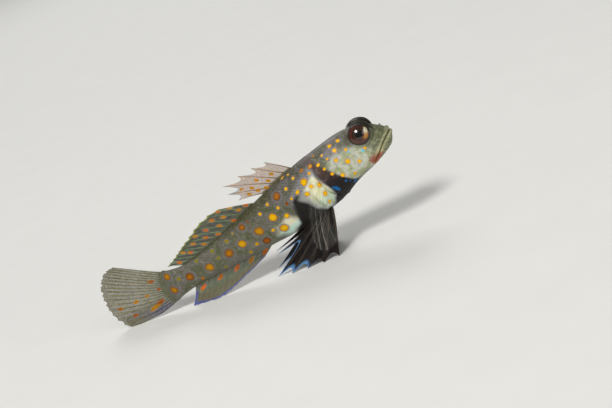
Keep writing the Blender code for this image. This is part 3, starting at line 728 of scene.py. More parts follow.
def patch_tints(paint, look, station, height):
    """The bands, patches, hood, lips and mouth laid over a colour, with painted shade along the gape."""
    cream = paint.mix(paint.fade(height, -3.6, -2.2), (216, 242, 228), (242, 234, 202))
    look = paint.over(look, cream, "white", -1.3, 1.1, 0.95)
    band = paint.times(paint.fade("band", -0.55, 0.45), paint.fade(height, 7.0, 4.2, 0.55, 0.97))
    lie = paint.vector("lie")
    band_tint = paint.mix(paint.fade(height, 4.0, -1.5), (84, 64, 58), (25, 17, 18))
    blotch = paint.times(paint.fade(paint.noise(lie, 0.7, 3), 0.48, 0.66), paint.fade(height, -2.2, 1.0))
    band_tint = paint.mix(paint.times(blotch, 0.6), band_tint, (112, 92, 88))
    look = paint.mix(band, look, band_tint)
    look = paint.over(look, (26, 22, 20), "belly_patch", -0.6, 0.4, 0.97)
    lobe_tint = paint.mix(paint.fade(height, -3.6, -0.5), (196, 216, 190), (230, 228, 186))
    ray_marks = paint.noise(paint.noise_shift(lie, 0.5, 0.3), 2.6, 2, (1.0, 0.3, 0.14), -FIN_RAYS_LEAN)
    lobe_tint = paint.over(lobe_tint, (246, 244, 232), ray_marks, 0.5, 0.66, 0.7)
    lobe_tint = paint.over(lobe_tint, (186, 178, 104), ray_marks, 0.46, 0.34, 0.5)
    lobe_tint = paint.over(lobe_tint, (150, 152, 154), station, 24.2, 26.2, 0.85)
    look = paint.over(look, lobe_tint, "lobe", -0.6, 0.7, 0.97)
    lips = paint.times(paint.fade("gape", 1.4, 0.5), paint.fade(station, 2.0, 4.6, 0.35, 0.8))
    look = paint.mix(lips, look, (198, 194, 150))
    look = paint.over(look, (152, 64, 42), "red", -0.7, 0.4, 0.85)
    # Painted shade: a dark line in the slit of the gape, where the lips meet.
    look = paint.over(look, (70, 48, 36), "gape", 0.2, 0.05, 0.6)
    return paint.over(look, (28, 22, 14), "hood", -0.3, 0.15, 0.95)


def spot_tints(paint, look, station):
    """Blue specks, and yellow spots that turn orange towards the tail: the large ones have a dark ring
    and the small ones turn olive."""
    blue = paint.mix(paint.fade(station, 12.0, 11.0), (16, 96, 156), (108, 194, 212))
    look = paint.over(look, blue, "blue", -0.45, 0.15)
    spot = paint.value("spot")
    ringed = paint.times(paint.fade(spot, -0.45, -0.02), paint.value("ring"))
    look = paint.mix(paint.times(ringed, 0.75), look, (74, 46, 24))
    halo = paint.times(paint.fade(spot, -1.0, -0.2), paint.fade("band", -0.6, -1.6))
    look = paint.mix(paint.times(halo, 0.22), look, (160, 156, 162))
    age = paint.larger(paint.fade(station, 30, 64, 0.0, 0.7), paint.value("dull"))
    centre = paint.mix(age, (248, 196, 0), (166, 90, 0))
    edge = paint.mix(age, (222, 152, 0), (112, 54, 0))
    yellow = paint.over(centre, edge, spot, 0.7, 0.1)
    small = paint.times(paint.fade(station, 40, 52), paint.fade("ring", 0.5, 0.1))
    yellow = paint.mix(small, yellow, (140, 126, 14))
    return paint.over(look, yellow, spot, -0.08, 0.12)


def skin_material():
    """The fish's skin and scales: a mottled ground, patches, and spots."""
    paint = Paint("goby_skin")
    lie = paint.vector("lie")
    station, _, height = paint.split(lie)
    look = ground_tint(paint, lie, station, height)
    look = paint.over(look, (62, 58, 50), "rim", 0.35, 1.0, 0.62)
    look = patch_tints(paint, look, station, height)
    look = spot_tints(paint, look, station)
    grain = paint.noise(lie, 6.0, 2)
    creases = paint.fade(paint.net(paint.noise_shift(lie, 1.2, 0.6), 2.4), 0.0, 0.1, 0.0, 0.25)
    relief_map = paint.math("ADD", paint.times(grain, 0.6), creases)
    paint.finish(Base_Color=look, Roughness=paint.fade(grain, 0.2, 0.8, 0.4, 0.56),
                 Normal=paint.bump(relief_map, 0.00003, 0.6))
    paint.finish(Coat_Weight=0.05, Coat_Roughness=0.25, Specular_IOR_Level=0.16, Subsurface_Weight=0.1,
                 Subsurface_Scale=0.0006, Subsurface_Radius=(1.0, 0.6, 0.45))
    return paint.material


def eye_material():
    """A red-brown iris, dark at its rim and over its top, with a gold and a pale patch before the pupil."""
    paint = Paint("goby_eye")
    ahead, above, _ = paint.split(paint.vector("gaze"))
    off_axis = paint.value("off_axis")
    streaks = paint.noise(paint.vector("iris"), 3.2, 3, (9.0, 1.2, 1.0))
    iris = paint.mix(paint.fade(off_axis, 0.45, 0.8), (44, 24, 15), (104, 44, 22))
    iris = paint.over(iris, (26, 12, 8), streaks, 0.62, 0.36, 0.75)
    ring = paint.times(paint.fade(off_axis, 0.42, 0.52), paint.fade(off_axis, 0.86, 0.7))
    turn = paint.times(paint.fade(ahead, 0.26, 0.46), paint.fade(above, -0.5, -0.15))
    pale = paint.mix(paint.fade(above, 0.05, 0.3), (176, 118, 26), (206, 200, 168))
    crescent = paint.times(ring, turn)
    iris = paint.mix(paint.times(crescent, 0.92), iris, pale)
    iris = paint.over(iris, (26, 12, 9), off_axis, 0.72, 0.92)
    iris = paint.over(iris, (140, 84, 36), off_axis, 0.42, 0.385, 0.45)
    look = paint.over(iris, (5, 5, 7), off_axis, 0.39, 0.355)
    top = paint.mix(paint.fade(streaks, 0.4, 0.7), (26, 18, 14), (58, 46, 30))
    hood_edge = (HOOD_FROM - 0.03, HOOD_FROM + 0.05)
    under_hood = paint.fade(above, *hood_edge)
    look = paint.mix(under_hood, look, top)
    paint.finish(Base_Color=look, Roughness=paint.fade(above, *hood_edge, 0.16, 0.5),
                 Coat_Weight=paint.math("SUBTRACT", 0.6, paint.times(under_hood, 0.55)),
                 Specular_IOR_Level=0.35, Coat_Roughness=0.04)
    return paint.material


# Scale coat

SCALE_ROW, SCALE_COLUMN = 0.46, 0.8
SCALE_LENGTH, SCALE_WIDTH = 1.16, 1.0
SCALES_FROM, SCALES_TO = 21.9, 69.2
SCALE_ROUND_FROM, SCALE_ROUND_OVER = 0.35, 0.68  # shares of its length over which a scale narrows
SCALE_SUNK = 0.09
SCALE_COLUMNS = np.linspace(-1, 1, 5)
SCALE_ROWS = np.array((0.0, 0.3, 0.55, 0.76, 0.91, 1.0))
UV_PATCH = 0.003
UV_LENGTH = 72.0  # stations over the height of the unwrap
ARC_POINTS = 241  # round the body, to space the scales


def sample_skin(ring, angle):
    """The skin's point and normal at any ring station and angle."""
    rows = np.interp(ring, RINGS, np.arange(len(RINGS)))
    columns = np.mod(angle, 2 * math.pi) / (2 * math.pi) * SKIN_ANGLES
    i = np.clip(rows.astype(int), 0, len(RINGS) - 2)
    j = columns.astype(int) % SKIN_ANGLES
    di, dj = (rows - i)[..., None], (columns - columns.astype(int))[..., None]
    following = (j + 1) % SKIN_ANGLES

    def blend(grid):
        near = grid[i, j] * (1 - dj) + grid[i, following] * dj
        far = grid[i + 1, j] * (1 - dj) + grid[i + 1, following] * dj
        return near * (1 - di) + far * di

    return blend(SKIN), unit(blend(SKIN_NORMALS))


def scale_roots():
    """The ring station of each scale's root, and the angles at its left, middle and right."""
    draw = np.random.default_rng(SEED)
    roots = []
    rows = np.arange(SCALES_FROM, SCALES_TO, SCALE_ROW)
    for number, ring in enumerate(rows):
        turns = np.linspace(0, 2 * math.pi, ARC_POINTS)
        points, _ = sample_skin(np.full(ARC_POINTS, ring), turns)
        arc = np.concatenate([[0], np.cumsum(np.linalg.norm(np.diff(points, axis=0), axis=1))])
        count = round(arc[-1] / SCALE_COLUMN)
        for k in range(count):
            middle = (k + 0.5 * (number % 2)) / count * arc[-1] + draw.normal(0, 0.025)
            across = middle + SCALE_COLUMNS * SCALE_WIDTH / 2
            angles = np.interp(across, np.concatenate([arc - arc[-1], arc[1:], arc[1:] + arc[-1]]),
                               np.concatenate([turns - 2 * math.pi, turns[1:], turns[1:] + 2 * math.pi]))
            roots.append((ring + draw.normal(0, 0.03), angles))
    return roots


def scale_faces():
    """The faces of one scale: its top in rows, a skirt to its underside, and the underside round a hub.
    Also the places of its border."""
    rows, columns = len(SCALE_ROWS), len(SCALE_COLUMNS)
    grid = np.arange(rows * columns).reshape(rows, columns)
    border = grid_border(grid)
    below = rows * columns + np.arange(len(border))
    hub = rows * columns + len(border)
    faces = grid_faces(rows, columns)
    for k in range(len(border)):
        n = (k + 1) % len(border)
        faces.append([border[n], border[k], below[k], below[n]])
        faces.append([below[n], below[k], hub])
    return faces, border


def scale_points(angles, ring, border):
    """The points of many scales, each sunk in the skin at its root and lifted at its rounded end."""
    rounded = np.sqrt(1 - (np.clip(SCALE_ROWS - SCALE_ROUND_FROM, 0, 1) / SCALE_ROUND_OVER) ** 2)
    middle = angles[:, 2:3]
    angle = middle[:, None, :] + (angles - middle)[:, None, :] * rounded[None, :, None]
    ring = np.minimum(ring + SCALE_ROWS[None, :, None] * SCALE_LENGTH, tail_end(0) - 0.1)
    ring = np.broadcast_to(ring, angle.shape)
    points, normals = sample_skin(ring, angle)
    crown = 0.02 * (1 - SCALE_COLUMNS[None, :] ** 2)
    lift = smooth((0, -0.06), (0.5, 0.03), (1, 0.075))(SCALE_ROWS)[:, None] + crown
    top = (points + normals * lift[None, ..., None]).reshape(len(points), -1, 3)
    under = (points - normals * SCALE_SUNK).reshape(len(points), -1, 3)
    every = np.concatenate([top, under[:, border], under.mean(axis=1, keepdims=True)], axis=1)
    root = np.stack([np.mod(angle[:, 0, 2], 2 * math.pi) / (2 * math.pi), ring[:, 0, 2] / UV_LENGTH], -1)
    return every, root


def make_scales(material):
    """Thin, rounded, overlapping scales, each a closed vane, in a front and a rear piece."""
    roots = scale_roots()
    faces, border = scale_faces()
    rings = np.array([ring for ring, _ in roots])[:, None, None]
    every, root = scale_points(np.array([angles for _, angles in roots]), rings, border)
    keep = ~near_lobe(every[:, 2])
    every, root = every[keep], root[keep] * (1 - 2 * UV_PATCH) + UV_PATCH
    rim = np.maximum(step(SCALE_ROWS, 0.6, 1.0)[:, None],
                     step(np.abs(SCALE_COLUMNS), 0.5, 1.0)[None] * step(SCALE_ROWS, 0.1, 0.5)[:, None])
    rim = np.concatenate([rim.ravel(), rim.ravel()[border], [1.0]])
    local = np.stack(np.meshgrid(SCALE_ROWS, SCALE_COLUMNS / 2 + 0.5, indexing="ij"), -1).reshape(-1, 2)
    local = np.concatenate([local, local[border], [[0.5, 0.5]]])
    pieces = []
    for name, half in (("scale_coat_front", slice(None, len(every) // 2)),
                       ("scale_coat_rear", slice(len(every) // 2, None))):
        count = len(every[half])
        points = every[half].reshape(-1, 3)
        offsets = np.arange(count) * every.shape[1]
        all_faces = []
        for face in faces:
            all_faces += (offsets[:, None] + np.array(face)[None]).tolist()
        patches = (root[half][:, None] + (local[None, :, ::-1] - 0.5) * UV_PATCH).reshape(-1, 2)
        corner_order = np.concatenate([np.array(face) for face in all_faces])
        values = markings(points, np.tile(rim, count))
        pieces.append(new_piece(name, points, all_faces, material, values, patches[corner_order]))
    return pieces


def near_lobe(points):
    """True on the fleshy base of a pectoral fin, which has no scales."""
    apart = (points * np.array((1, 0, 1)) - LOBE_CENTRE * np.array((1, 0, 1))) / (LOBE_RADII + 0.3)
    return (apart ** 2).sum(-1) < 1


# Skin piece


def tail_cap(last_row):
    """Faces that close the skin's last ring, from each side to the other."""
    faces = []
    quarter, half = SKIN_ANGLES // 4, SKIN_ANGLES // 2
    for j in range(-quarter, quarter):
        corners = [place % SKIN_ANGLES for place in (j, j + 1, half - j - 1, half - j)]
        face = list(dict.fromkeys(corners))
        faces.append([last_row + v for v in reversed(face)])
    return faces


def make_skin(material):
    rows = len(RINGS)
    points = np.vstack([SKIN.reshape(-1, 3), [[SNOUT_TIP, 0, SNOUT_HEIGHT]]])
    nose = len(points) - 1
    faces = grid_faces(rows, SKIN_ANGLES, wraps=True)
    faces = [face[::-1] for face in faces]
    faces += fan(0, SKIN_ANGLES, nose)
    faces += tail_cap((rows - 1) * SKIN_ANGLES)
    turn = np.tile(np.arange(SKIN_ANGLES) / SKIN_ANGLES, rows)
    along = np.repeat(RINGS / UV_LENGTH, SKIN_ANGLES)
    uv = np.stack([np.append(turn, 0.5), np.append(along, SNOUT_TIP / UV_LENGTH)], -1)
    corners = []
    for face in faces:
        places = uv[face]
        if np.ptp(places[:, 0]) > 0.5:
            places = places + np.stack([places[:, 0] < 0.5, np.zeros(len(face))], -1)
        corners.append(places)
    uvs = np.vstack(corners) * (1 - 2 * UV_PATCH) + UV_PATCH
    return new_piece("fish_skin", points, faces, material, markings(points), uvs)


NOSTRIL_SIDES = 20
# Radius and how far out, up the outside and down the inside
NOSTRIL_RINGS = ((0.3, -0.25), (0.26, 0.06), (0.2, 0.26), (0.21, 0.4), (0.17, 0.45), (0.13, 0.4),
                 (0.11, 0.2), (0.1, 0.05))


def make_nostrils(material):
    """A short flared tube above each side of the upper lip."""
    parts = []
    for side in (1, -1):
        skin, normals = half_skin(side)
        at = np.hypot(skin[:, 0] - TUBE_NOSTRIL[0], skin[:, 2] - TUBE_NOSTRIL[1]).argmin()
        axis = unit(normals[at] + np.array((-0.25, 0, 0.25)))
        first = unit(np.cross(axis, (1.0, 0.0, 0.0)))
        second = np.cross(axis, first)
        turns = circle(NOSTRIL_SIDES)
        across = np.outer(np.cos(turns), first) + np.outer(np.sin(turns), second)
        rings = [skin[at] + axis * out + across * radius for radius, out in NOSTRIL_RINGS]
        points = np.vstack(rings + [skin[at] + axis * 0.05, skin[at] - axis * 0.25])
        faces = [face[::-1] for face in grid_faces(len(NOSTRIL_RINGS), NOSTRIL_SIDES, wraps=True)]
        faces += fan((len(NOSTRIL_RINGS) - 1) * NOSTRIL_SIDES, NOSTRIL_SIDES, len(points) - 2, flipped=True)
        faces += fan(0, NOSTRIL_SIDES, len(points) - 1)
        parts.append((points, faces, {}))
    points, faces, _ = join_parts(parts)
    values = markings(points)
    values["spot"] -= 2  # no spot shows on the tubes
    return new_piece("front_nostrils", points, faces, material, values)


EYE_TURNS, EYE_ROWS = 96, 60
RIM_SIDES = 12
RIM_OFF_AXIS = 2.84


def rim_height(side, turns):
    """How far out of the eye's middle plane the skin meets the eye, round it."""
    ahead, above, out = from_eye(half_skin(side)[0], side).T
    near = (np.abs(np.hypot(ahead, above) - RIM_OFF_AXIS - 0.12) < 0.16) & (out > -1.0)
    angles = np.arctan2(above, ahead)[near]
    heights = out[near]
    found = []
    for turn in turns:
        apart = np.abs(np.mod(angles - turn + math.pi, 2 * math.pi) - math.pi)
        weight = np.exp(-(apart / 0.12) ** 2)
        found.append((heights * weight).sum() / weight.sum())
    return np.array(found)


def make_eye_rims(material):
    """A soft ring of skin round each eye, thickest over it."""
    parts = []
    for side in (1, -1):
        centre, looks, ahead, above = eye_frame(side)
        turns = circle(EYE_TURNS)
        height = rim_height(side, turns)
        across = 0.2 + 0.1 * step(np.sin(turns), 0.2, 0.9)
        outward = np.cos(turns)[:, None] * ahead + np.sin(turns)[:, None] * above
        middle = centre + outward * RIM_OFF_AXIS + looks * (height - 0.02)[:, None]
        section = circle(RIM_SIDES)
        tube = (middle[:, None] + outward[:, None] * (across[:, None] * np.cos(section))[..., None]
                + looks * (0.17 * np.sin(section))[None, :, None])
        faces = grid_faces(EYE_TURNS + 1, RIM_SIDES, wraps=True)
        count = EYE_TURNS * RIM_SIDES
        faces = [[v % count for v in face] for face in faces]
        if side < 0:
            faces = [face[::-1] for face in faces]
        parts.append((tube.reshape(-1, 3), faces, {}))
    points, faces, _ = join_parts(parts)
    return new_piece("eye_rims", points, faces, material, markings(points))


def make_eye(name, side, material):
    """An eyeball with a slightly raised pupil."""
    centre, looks, ahead, above = eye_frame(side)
    tilt, turn = np.meshgrid(np.linspace(0, math.pi, EYE_ROWS)[1:-1], circle(EYE_TURNS), indexing="ij")
    off, out = np.sin(tilt), np.cos(tilt)
    raised = 0.06 * bump(off, 0, 0.36) * (out > 0)

    def place(off, turn, out, raised):
        flat = (np.cos(turn) * off)[..., None] * ahead + (np.sin(turn) * off)[..., None] * above
        return centre + flat * EYE_RADIUS + (out * EYE_DEPTH + raised)[..., None] * looks

    ends = place(np.zeros(2), np.zeros(2), np.array((1.0, -1.0)), np.array((0.06, 0.0)))
    points = np.vstack([place(off, turn, out, raised).reshape(-1, 3), ends])
    rows = EYE_ROWS - 2
    faces = grid_faces(rows, EYE_TURNS, wraps=True)
    faces += fan(0, EYE_TURNS, len(points) - 2, flipped=True)
    faces += fan((rows - 1) * EYE_TURNS, EYE_TURNS, len(points) - 1)
    if side > 0:
        faces = [face[::-1] for face in faces]
    off_axis = np.where(out > 0, off, 2 - off).ravel()
    gaze = np.stack([np.cos(turn) * off, np.sin(turn) * off, out], -1).reshape(-1, 3)
    iris = np.stack([np.cos(turn), np.sin(turn), off], -1).reshape(-1, 3)
    values = {
        "off_axis": np.append(off_axis, (0, 2)),
        "gaze": np.vstack([gaze, (0, 0, 1), (0, 0, -1)]),
        "iris": np.vstack([iris, (0, 0, 0), (0, 0, 0)]),
    }
    return new_piece(name, points, faces, material, values)


# Fins: a thin sheet, with tapered, branched rays that stand out of it

SHEET_THICK = 0.11
BILLOW = 0.12  # of the sheet between rays
PER_GAP = 8
RAY_SIDES = 6


def fin_sheet(line, notch):
    """A function that gives the sheet at any ray number, whole or not, and share of the way out."""
    def place(ray, share):
        near = np.clip(np.floor(ray).astype(int), 0, line.count - 2)
        across = ray - near
        cut = notch(near) * 4 * across * (1 - across) * (share > 0)
        reach = share * (1 - cut)
        point = line(near, reach) * (1 - across)[..., None] + line(near + 1, reach) * across[..., None]
        side = np.where(near % 2 == 0, 1, -0.6)
        billow = BILLOW * np.sin(math.pi * across) * np.clip(share, 0, 1) * side
        return point + billow[..., None] * np.array((0.0, 1.0, 0.0))
    return place


class Rays:
    """The middle lines of a fin's rays: called with whole ray numbers and shares of the way out."""

    def __init__(self, count, function):
        self.count = count
        self.function = function

    def __call__(self, ray, share):
        return self.function(ray, share)


def fin_values(points, ray, share, strength, count, edge, spots):
    """What a fin's material reads. strength is 0 on the sheet, and up to 1 on a ray."""
    close = np.full(len(points), -2.0)
    for station, height, radius, stretch, lean in spots:
        along = np.array((math.cos(lean), math.sin(lean)))
        s, h = points[:, 0] - station, points[:, 2] - height
        forth = (s * along[0] + h * along[1]) / stretch
        athwart = s * -along[1] + h * along[0]
        close = np.maximum(close, 1 - np.hypot(forth, athwart) / radius)
    return {
        "lie": points,
        "across": ray / (count - 1),
        "from_ray": np.abs(ray - np.round(ray)) * 2,
        "out": np.clip(share, 0, 1),
        "edge": edge,
        "strength": np.zeros(len(points)) + strength,
        "spot": close,
    }


def sheet_part(place, count, rows, first_share, spots, ridges=None):
    """The fin's sheet as a thin closed body. ridges are the strengths of its rays where these are only
    raised lines in it, each of which forks."""
    per_gap = PER_GAP if ridges is None else 3 * PER_GAP
    rays = np.linspace(0, count - 1, (count - 1) * per_gap + 1)
    shares = np.linspace(first_share, 1, rows)
    share, ray = np.meshgrid(shares, rays, indexing="ij")
    grid = place(ray, share)
    normals = grid_normals(grid)
    thick = SHEET_THICK * (1 - 0.4 * np.clip(share, 0, 1))
    strength = 0 * share
    if ridges is not None:
        whole = np.round(ray)
        line = bump(np.abs(ray - whole), 0.2 * step(share, 0.4, 1.0), 0.075)
        strength = line * ridges[whole.astype(int)]
        thick = thick + 0.16 * line * (1 - 0.7 * share)
    thick = thick[..., None]
    faces = grid_faces(*share.shape)
    size = share.size
    index = np.arange(size).reshape(share.shape)
    border = grid_border(index)
    closed = faces + [[v + size for v in face[::-1]] for face in faces]
    for k in range(len(border)):
        n = (k + 1) % len(border)
        closed.append([border[n], border[k], border[k] + size, border[n] + size])
    half = normals * thick / 2
    points = np.vstack([(grid + half).reshape(-1, 3), (grid - half).reshape(-1, 3)])
    length = np.linalg.norm(np.diff(grid, axis=0), axis=2).sum(axis=0)[None]
    edge = np.tile(((1 - share) * length).ravel(), 2)
    values = fin_values(points, np.tile(ray.ravel(), 2), np.tile(share.ravel(), 2),
                        np.tile(strength.ravel(), 2), count, edge, spots)
    return points, closed, values


def ray_paths(ray, count, is_soft, spread):
    """The stem and branches of a ray, as (first share, last share, how far each end is from the ray)."""
    if not is_soft:
        return [(None, 1.0, 0.0, 0.0)]
    ends = [side for side in (-1, 1) if 0 <= ray + side * spread <= count - 1]
    paths = [(None, 0.4, 0.0, 0.0)]
    paths += [(0.3, 1.0, 0.0, side * spread * 0.4) for side in ends]
    paths += [(0.55, 1.0, side * spread * 0.14, side * spread) for side in ends]
    return paths


def ray_part(place, count, ray, path, radius, first_share, spots):
    """One tapered tube along the sheet."""
    start, end, offset, last_offset = path
    is_branch = start is not None
    start = first_share if start is None else start
    rows = max(8, round(26 * (end - start)))
    share = np.linspace(start, end, rows)
    along = np.linspace(0, 1, rows)
    at = np.clip(ray + offset + (last_offset - offset) * along ** 1.3, 0, count - 1)
    middle = place(at, share)
    forward = unit(np.gradient(middle, axis=0))
    nudge = np.where(at < count - 1.05, 0.05, -0.05)
    beside = (place(at + nudge, share) - middle) * np.sign(nudge)[:, None]
    out = unit(np.cross(beside, forward))
    flank = np.cross(forward, out)
    taper = radius * (1 - 0.72 * np.clip(share, 0, 1) ** 0.9)
    if is_branch:
        taper = taper * 0.72
    turns = circle(RAY_SIDES)[None, :, None]
    around = np.cos(turns) * out[:, None] + np.sin(turns) * flank[:, None]
    rings = middle[:, None] + taper[:, None, None] * around
    points = np.vstack([rings.reshape(-1, 3), middle[:1], middle[-1:] + forward[-1:] * taper[-1]])
    faces = grid_faces(rows, RAY_SIDES, wraps=True)
    faces += fan(0, RAY_SIDES, len(points) - 2, flipped=True)
    faces += fan((rows - 1) * RAY_SIDES, RAY_SIDES, len(points) - 1)
    per_ring = np.append(np.repeat(share, RAY_SIDES), (share[0], share[-1]))
    ray_at = np.append(np.repeat(at, RAY_SIDES), (at[0], at[-1]))
    length = np.linalg.norm(np.diff(middle, axis=0), axis=1).sum() / max(end - start, 0.1)
    edge = (1 - per_ring) * length
    return points, faces, fin_values(points, ray_at, per_ring, 1, count, edge, spots)


FLOOR_CLEAR = 0.00002


def make_fin(name, rays, notch, material, soft_from=0, radius=0.17, rows=30, first_share=-0.1, spots=(),
             spread=0.34, faint=False):
    """A fin as one piece: its sheet and its rays. Rays before soft_from are spines, without branches. The
    rays of a faint fin are only raised lines, of which few show."""
    place = fin_sheet(rays, notch)
    ridges = None
    if faint:
        ridges = np.random.default_rng(SEED).uniform(0.42, 1, rays.count) ** 3
    parts = [sheet_part(place, rays.count, rows, first_share, spots, ridges)]
    for ray in range(0 if faint else rays.count):
        for path in ray_paths(ray, rays.count, ray >= soft_from, spread):
            parts.append(ray_part(place, rays.count, ray, path, radius, first_share, spots))
    points, faces, values = join_parts(parts)
    where = posed(points)
    where[:, 2] = np.maximum(where[:, 2], FLOOR_CLEAR)
    return new_piece(name, where, faces, material, values, straight=False)


def swept(count, bases, lengths, sweeps, root, droop, wave):
    """Rays in the fish's middle plane, as in the part."""
    def line(ray, share):
        sweep = np.radians(sweeps(ray))
        bend = math.radians(droop) * share
        reach = lengths(ray) * share
        start = root(bases(ray))
        up = np.sign(start)
        station = bases(ray) + reach * np.cos(sweep - bend)
        height = start + up * reach * np.sin(sweep - bend)
        return np.stack([station, wave(ray) * share * np.abs(share), height], -1)
    return Rays(count, line)


def first_dorsal_rays():
    lengths = smooth((0, 6.6), (1, 8.6), (2, 10.6), (3, 13.2), (4, 10.6), (5, 6.4))
    sweeps = smooth((0, 58), (1, 51), (2, 44), (3, 37), (4, 32), (5, 26))
    return swept(6, lambda ray: 24.6 + 1.95 * ray, lengths, sweeps, lambda s: BACK(s) + GAP, 4,
                 lambda ray: 0.5 * np.sin(0.8 * ray))


def second_dorsal_rays():
    lengths = smooth((0, 4.8), (1, 7.5), (3, 9.4), (6, 8.9), (9, 6.9), (12, 4.1))
    sweeps = smooth((0, 32), (1, 39), (3, 35), (6, 27.5), (9, 24.5), (12, 25))
    return swept(13, lambda ray: 38.3 + 2.05 * ray, lengths, sweeps, lambda s: BACK(s) + GAP, 5,
                 lambda ray: 0.55 * np.sin(0.75 * ray + 1.0))


def anal_rays():
    lengths = smooth((0, 2.8), (1, 4.6), (4, 6.5), (8, 7.0), (12, 4.9))
    sweeps = smooth((0, 28), (1, 31), (4, 41), (8, 50), (12, 59))
    return swept(13, lambda ray: 41.6 + 1.8 * ray, lengths, sweeps, lambda s: -BELLY(s) - GAP, 6,
                 lambda ray: -1.2 + 0.45 * np.sin(0.7 * ray))


def bowed(base, tip, share, bow):
    """Points from base to tip, bowed out by bow halfway."""
    share = share[..., None]
    return base * (1 - share) + tip * share + np.sin(math.pi * np.clip(share, 0, 1)) * bow


def caudal_rays():
    count = 17
    tip_station = smooth((0, 82.6), (0.15, 85.4), (0.35, 87.7), (0.55, 88.4), (0.75, 87.3), (0.9, 85.2),
                         (1, 82.4))
    tip_height = smooth((0, 9.4), (0.15, 8.2), (0.35, 5.6), (0.55, 2.2), (0.75, -2.0), (0.9, -5.6),
                        (1, -7.6))

    def line(ray, share):
        place = ray / (count - 1)
        height = 4.35 - 8.6 * place
        base = np.stack([tail_end(height) + GAP, 0 * height, height], -1)
        tip = np.stack([tip_station(place), 0.9 * np.sin(5 * place), tip_height(place)], -1)
        flare = np.stack([0 * place, 0 * place, 0.35 * (1 - 2 * place)], -1)
        return bowed(base, tip, share, flare)

    return Rays(count, line)


def pectoral_rays(side):
    count = 15
    tip_station = smooth((0, 31.4), (0.3, 31.3), (0.6, 29.8), (0.85, 27.5), (1, 25.3))
    tip_height = smooth((0, -8.8), (0.3, -11.2), (0.6, -12.5), (0.85, -12.7), (1, -11.6))
    tip_side = smooth((0, 7.4), (0.5, 9.4), (1, 7.6))

    def line(ray, share):
        place = ray / (count - 1)
        height = LOBE_CENTRE[2] + 3.2 - 6.2 * place
        base = np.stack([0 * place + LOBE_CENTRE[0] + 0.2, 0 * place + side * LOBE_CENTRE[1], height], -1)
        tip = np.stack([tip_station(place), side * tip_side(place), tip_height(place)], -1)
        return bowed(base, tip, share, np.array((0.4, side * 1.5, 0.6)))

    return Rays(count, line)


PELVIC_TIPS = np.array(((29.4, 6.0), (33.0, 6.4), (36.8, 6.0), (40.7, 5.1), (44.2, 3.2), (41.6, 1.6)))
FREE_RAY_HEIGHT = -7.4


def pelvic_rays(side):
    base_station = smooth((0, 22.8), (5, 25.6))
    base_side = smooth((0, 2.4), (5, 1.0))

    def line(ray, share):
        station, out = PELVIC_TIPS[ray, 0], PELVIC_TIPS[ray, 1]
        height = np.where(ray == len(PELVIC_TIPS) - 1, FREE_RAY_HEIGHT, floor_height(station, side * out))
        base = np.stack([base_station(ray), side * base_side(ray), 0 * out - 5.6], -1)
        tip = np.stack([station, side * out, height], -1)
        return bowed(base, tip, share, np.array((0.0, side * 0.5, -0.2)))

    return Rays(len(PELVIC_TIPS), line)


def rows_of(places, radius, stretch, lean):
    return tuple((station, height, radius, stretch, math.radians(lean)) for station, height in places)


FIRST_DORSAL_SPOTS = rows_of(((38.0, 11.2), (35.6, 9.8), (31.0, 8.6), (32.6, 7.6), (34.8, 8.4), (37.2, 9.0),
                              (29.2, 9.4), (33.4, 10.6)), 0.44, 1.7, 38)
SECOND_DORSAL_SPOTS = rows_of(
    ((42.0, 7.4), (43.6, 9.2), (39.8, 7.3), (44.8, 6.0), (46.4, 8.2), (49.4, 9.2), (48.6, 7.0), (52.2, 8.0),
     (50.2, 5.4), (53.4, 6.4), (54.8, 5.2), (57.2, 6.8), (59.2, 5.2), (63.2, 4.4), (61.0, 6.2), (55.4, 8.2),
     (46.8, 10.2)), 0.42, 1.9, 26)
ANAL_SPOTS = rows_of(((43.4, -5.2), (47.5, -5.0), (51.6, -4.6), (56.5, -4.3), (61.7, -4.3)), 0.48, 2.4, -24)
CAUDAL_SPOTS = (rows_of(((73.4, 3.0),), 0.5, 2.4, 4) + rows_of(((72.2, 0.4), (76.0, -0.4)), 0.45, 1.5, -4)
                + rows_of(((73.4, -3.0), (75.2, -3.9)), 0.62, 2.4, -24)
                + rows_of(((79.4, -1.2), (84.0, -2.2), (80.6, -4.6)), 0.5, 1.8, -10))


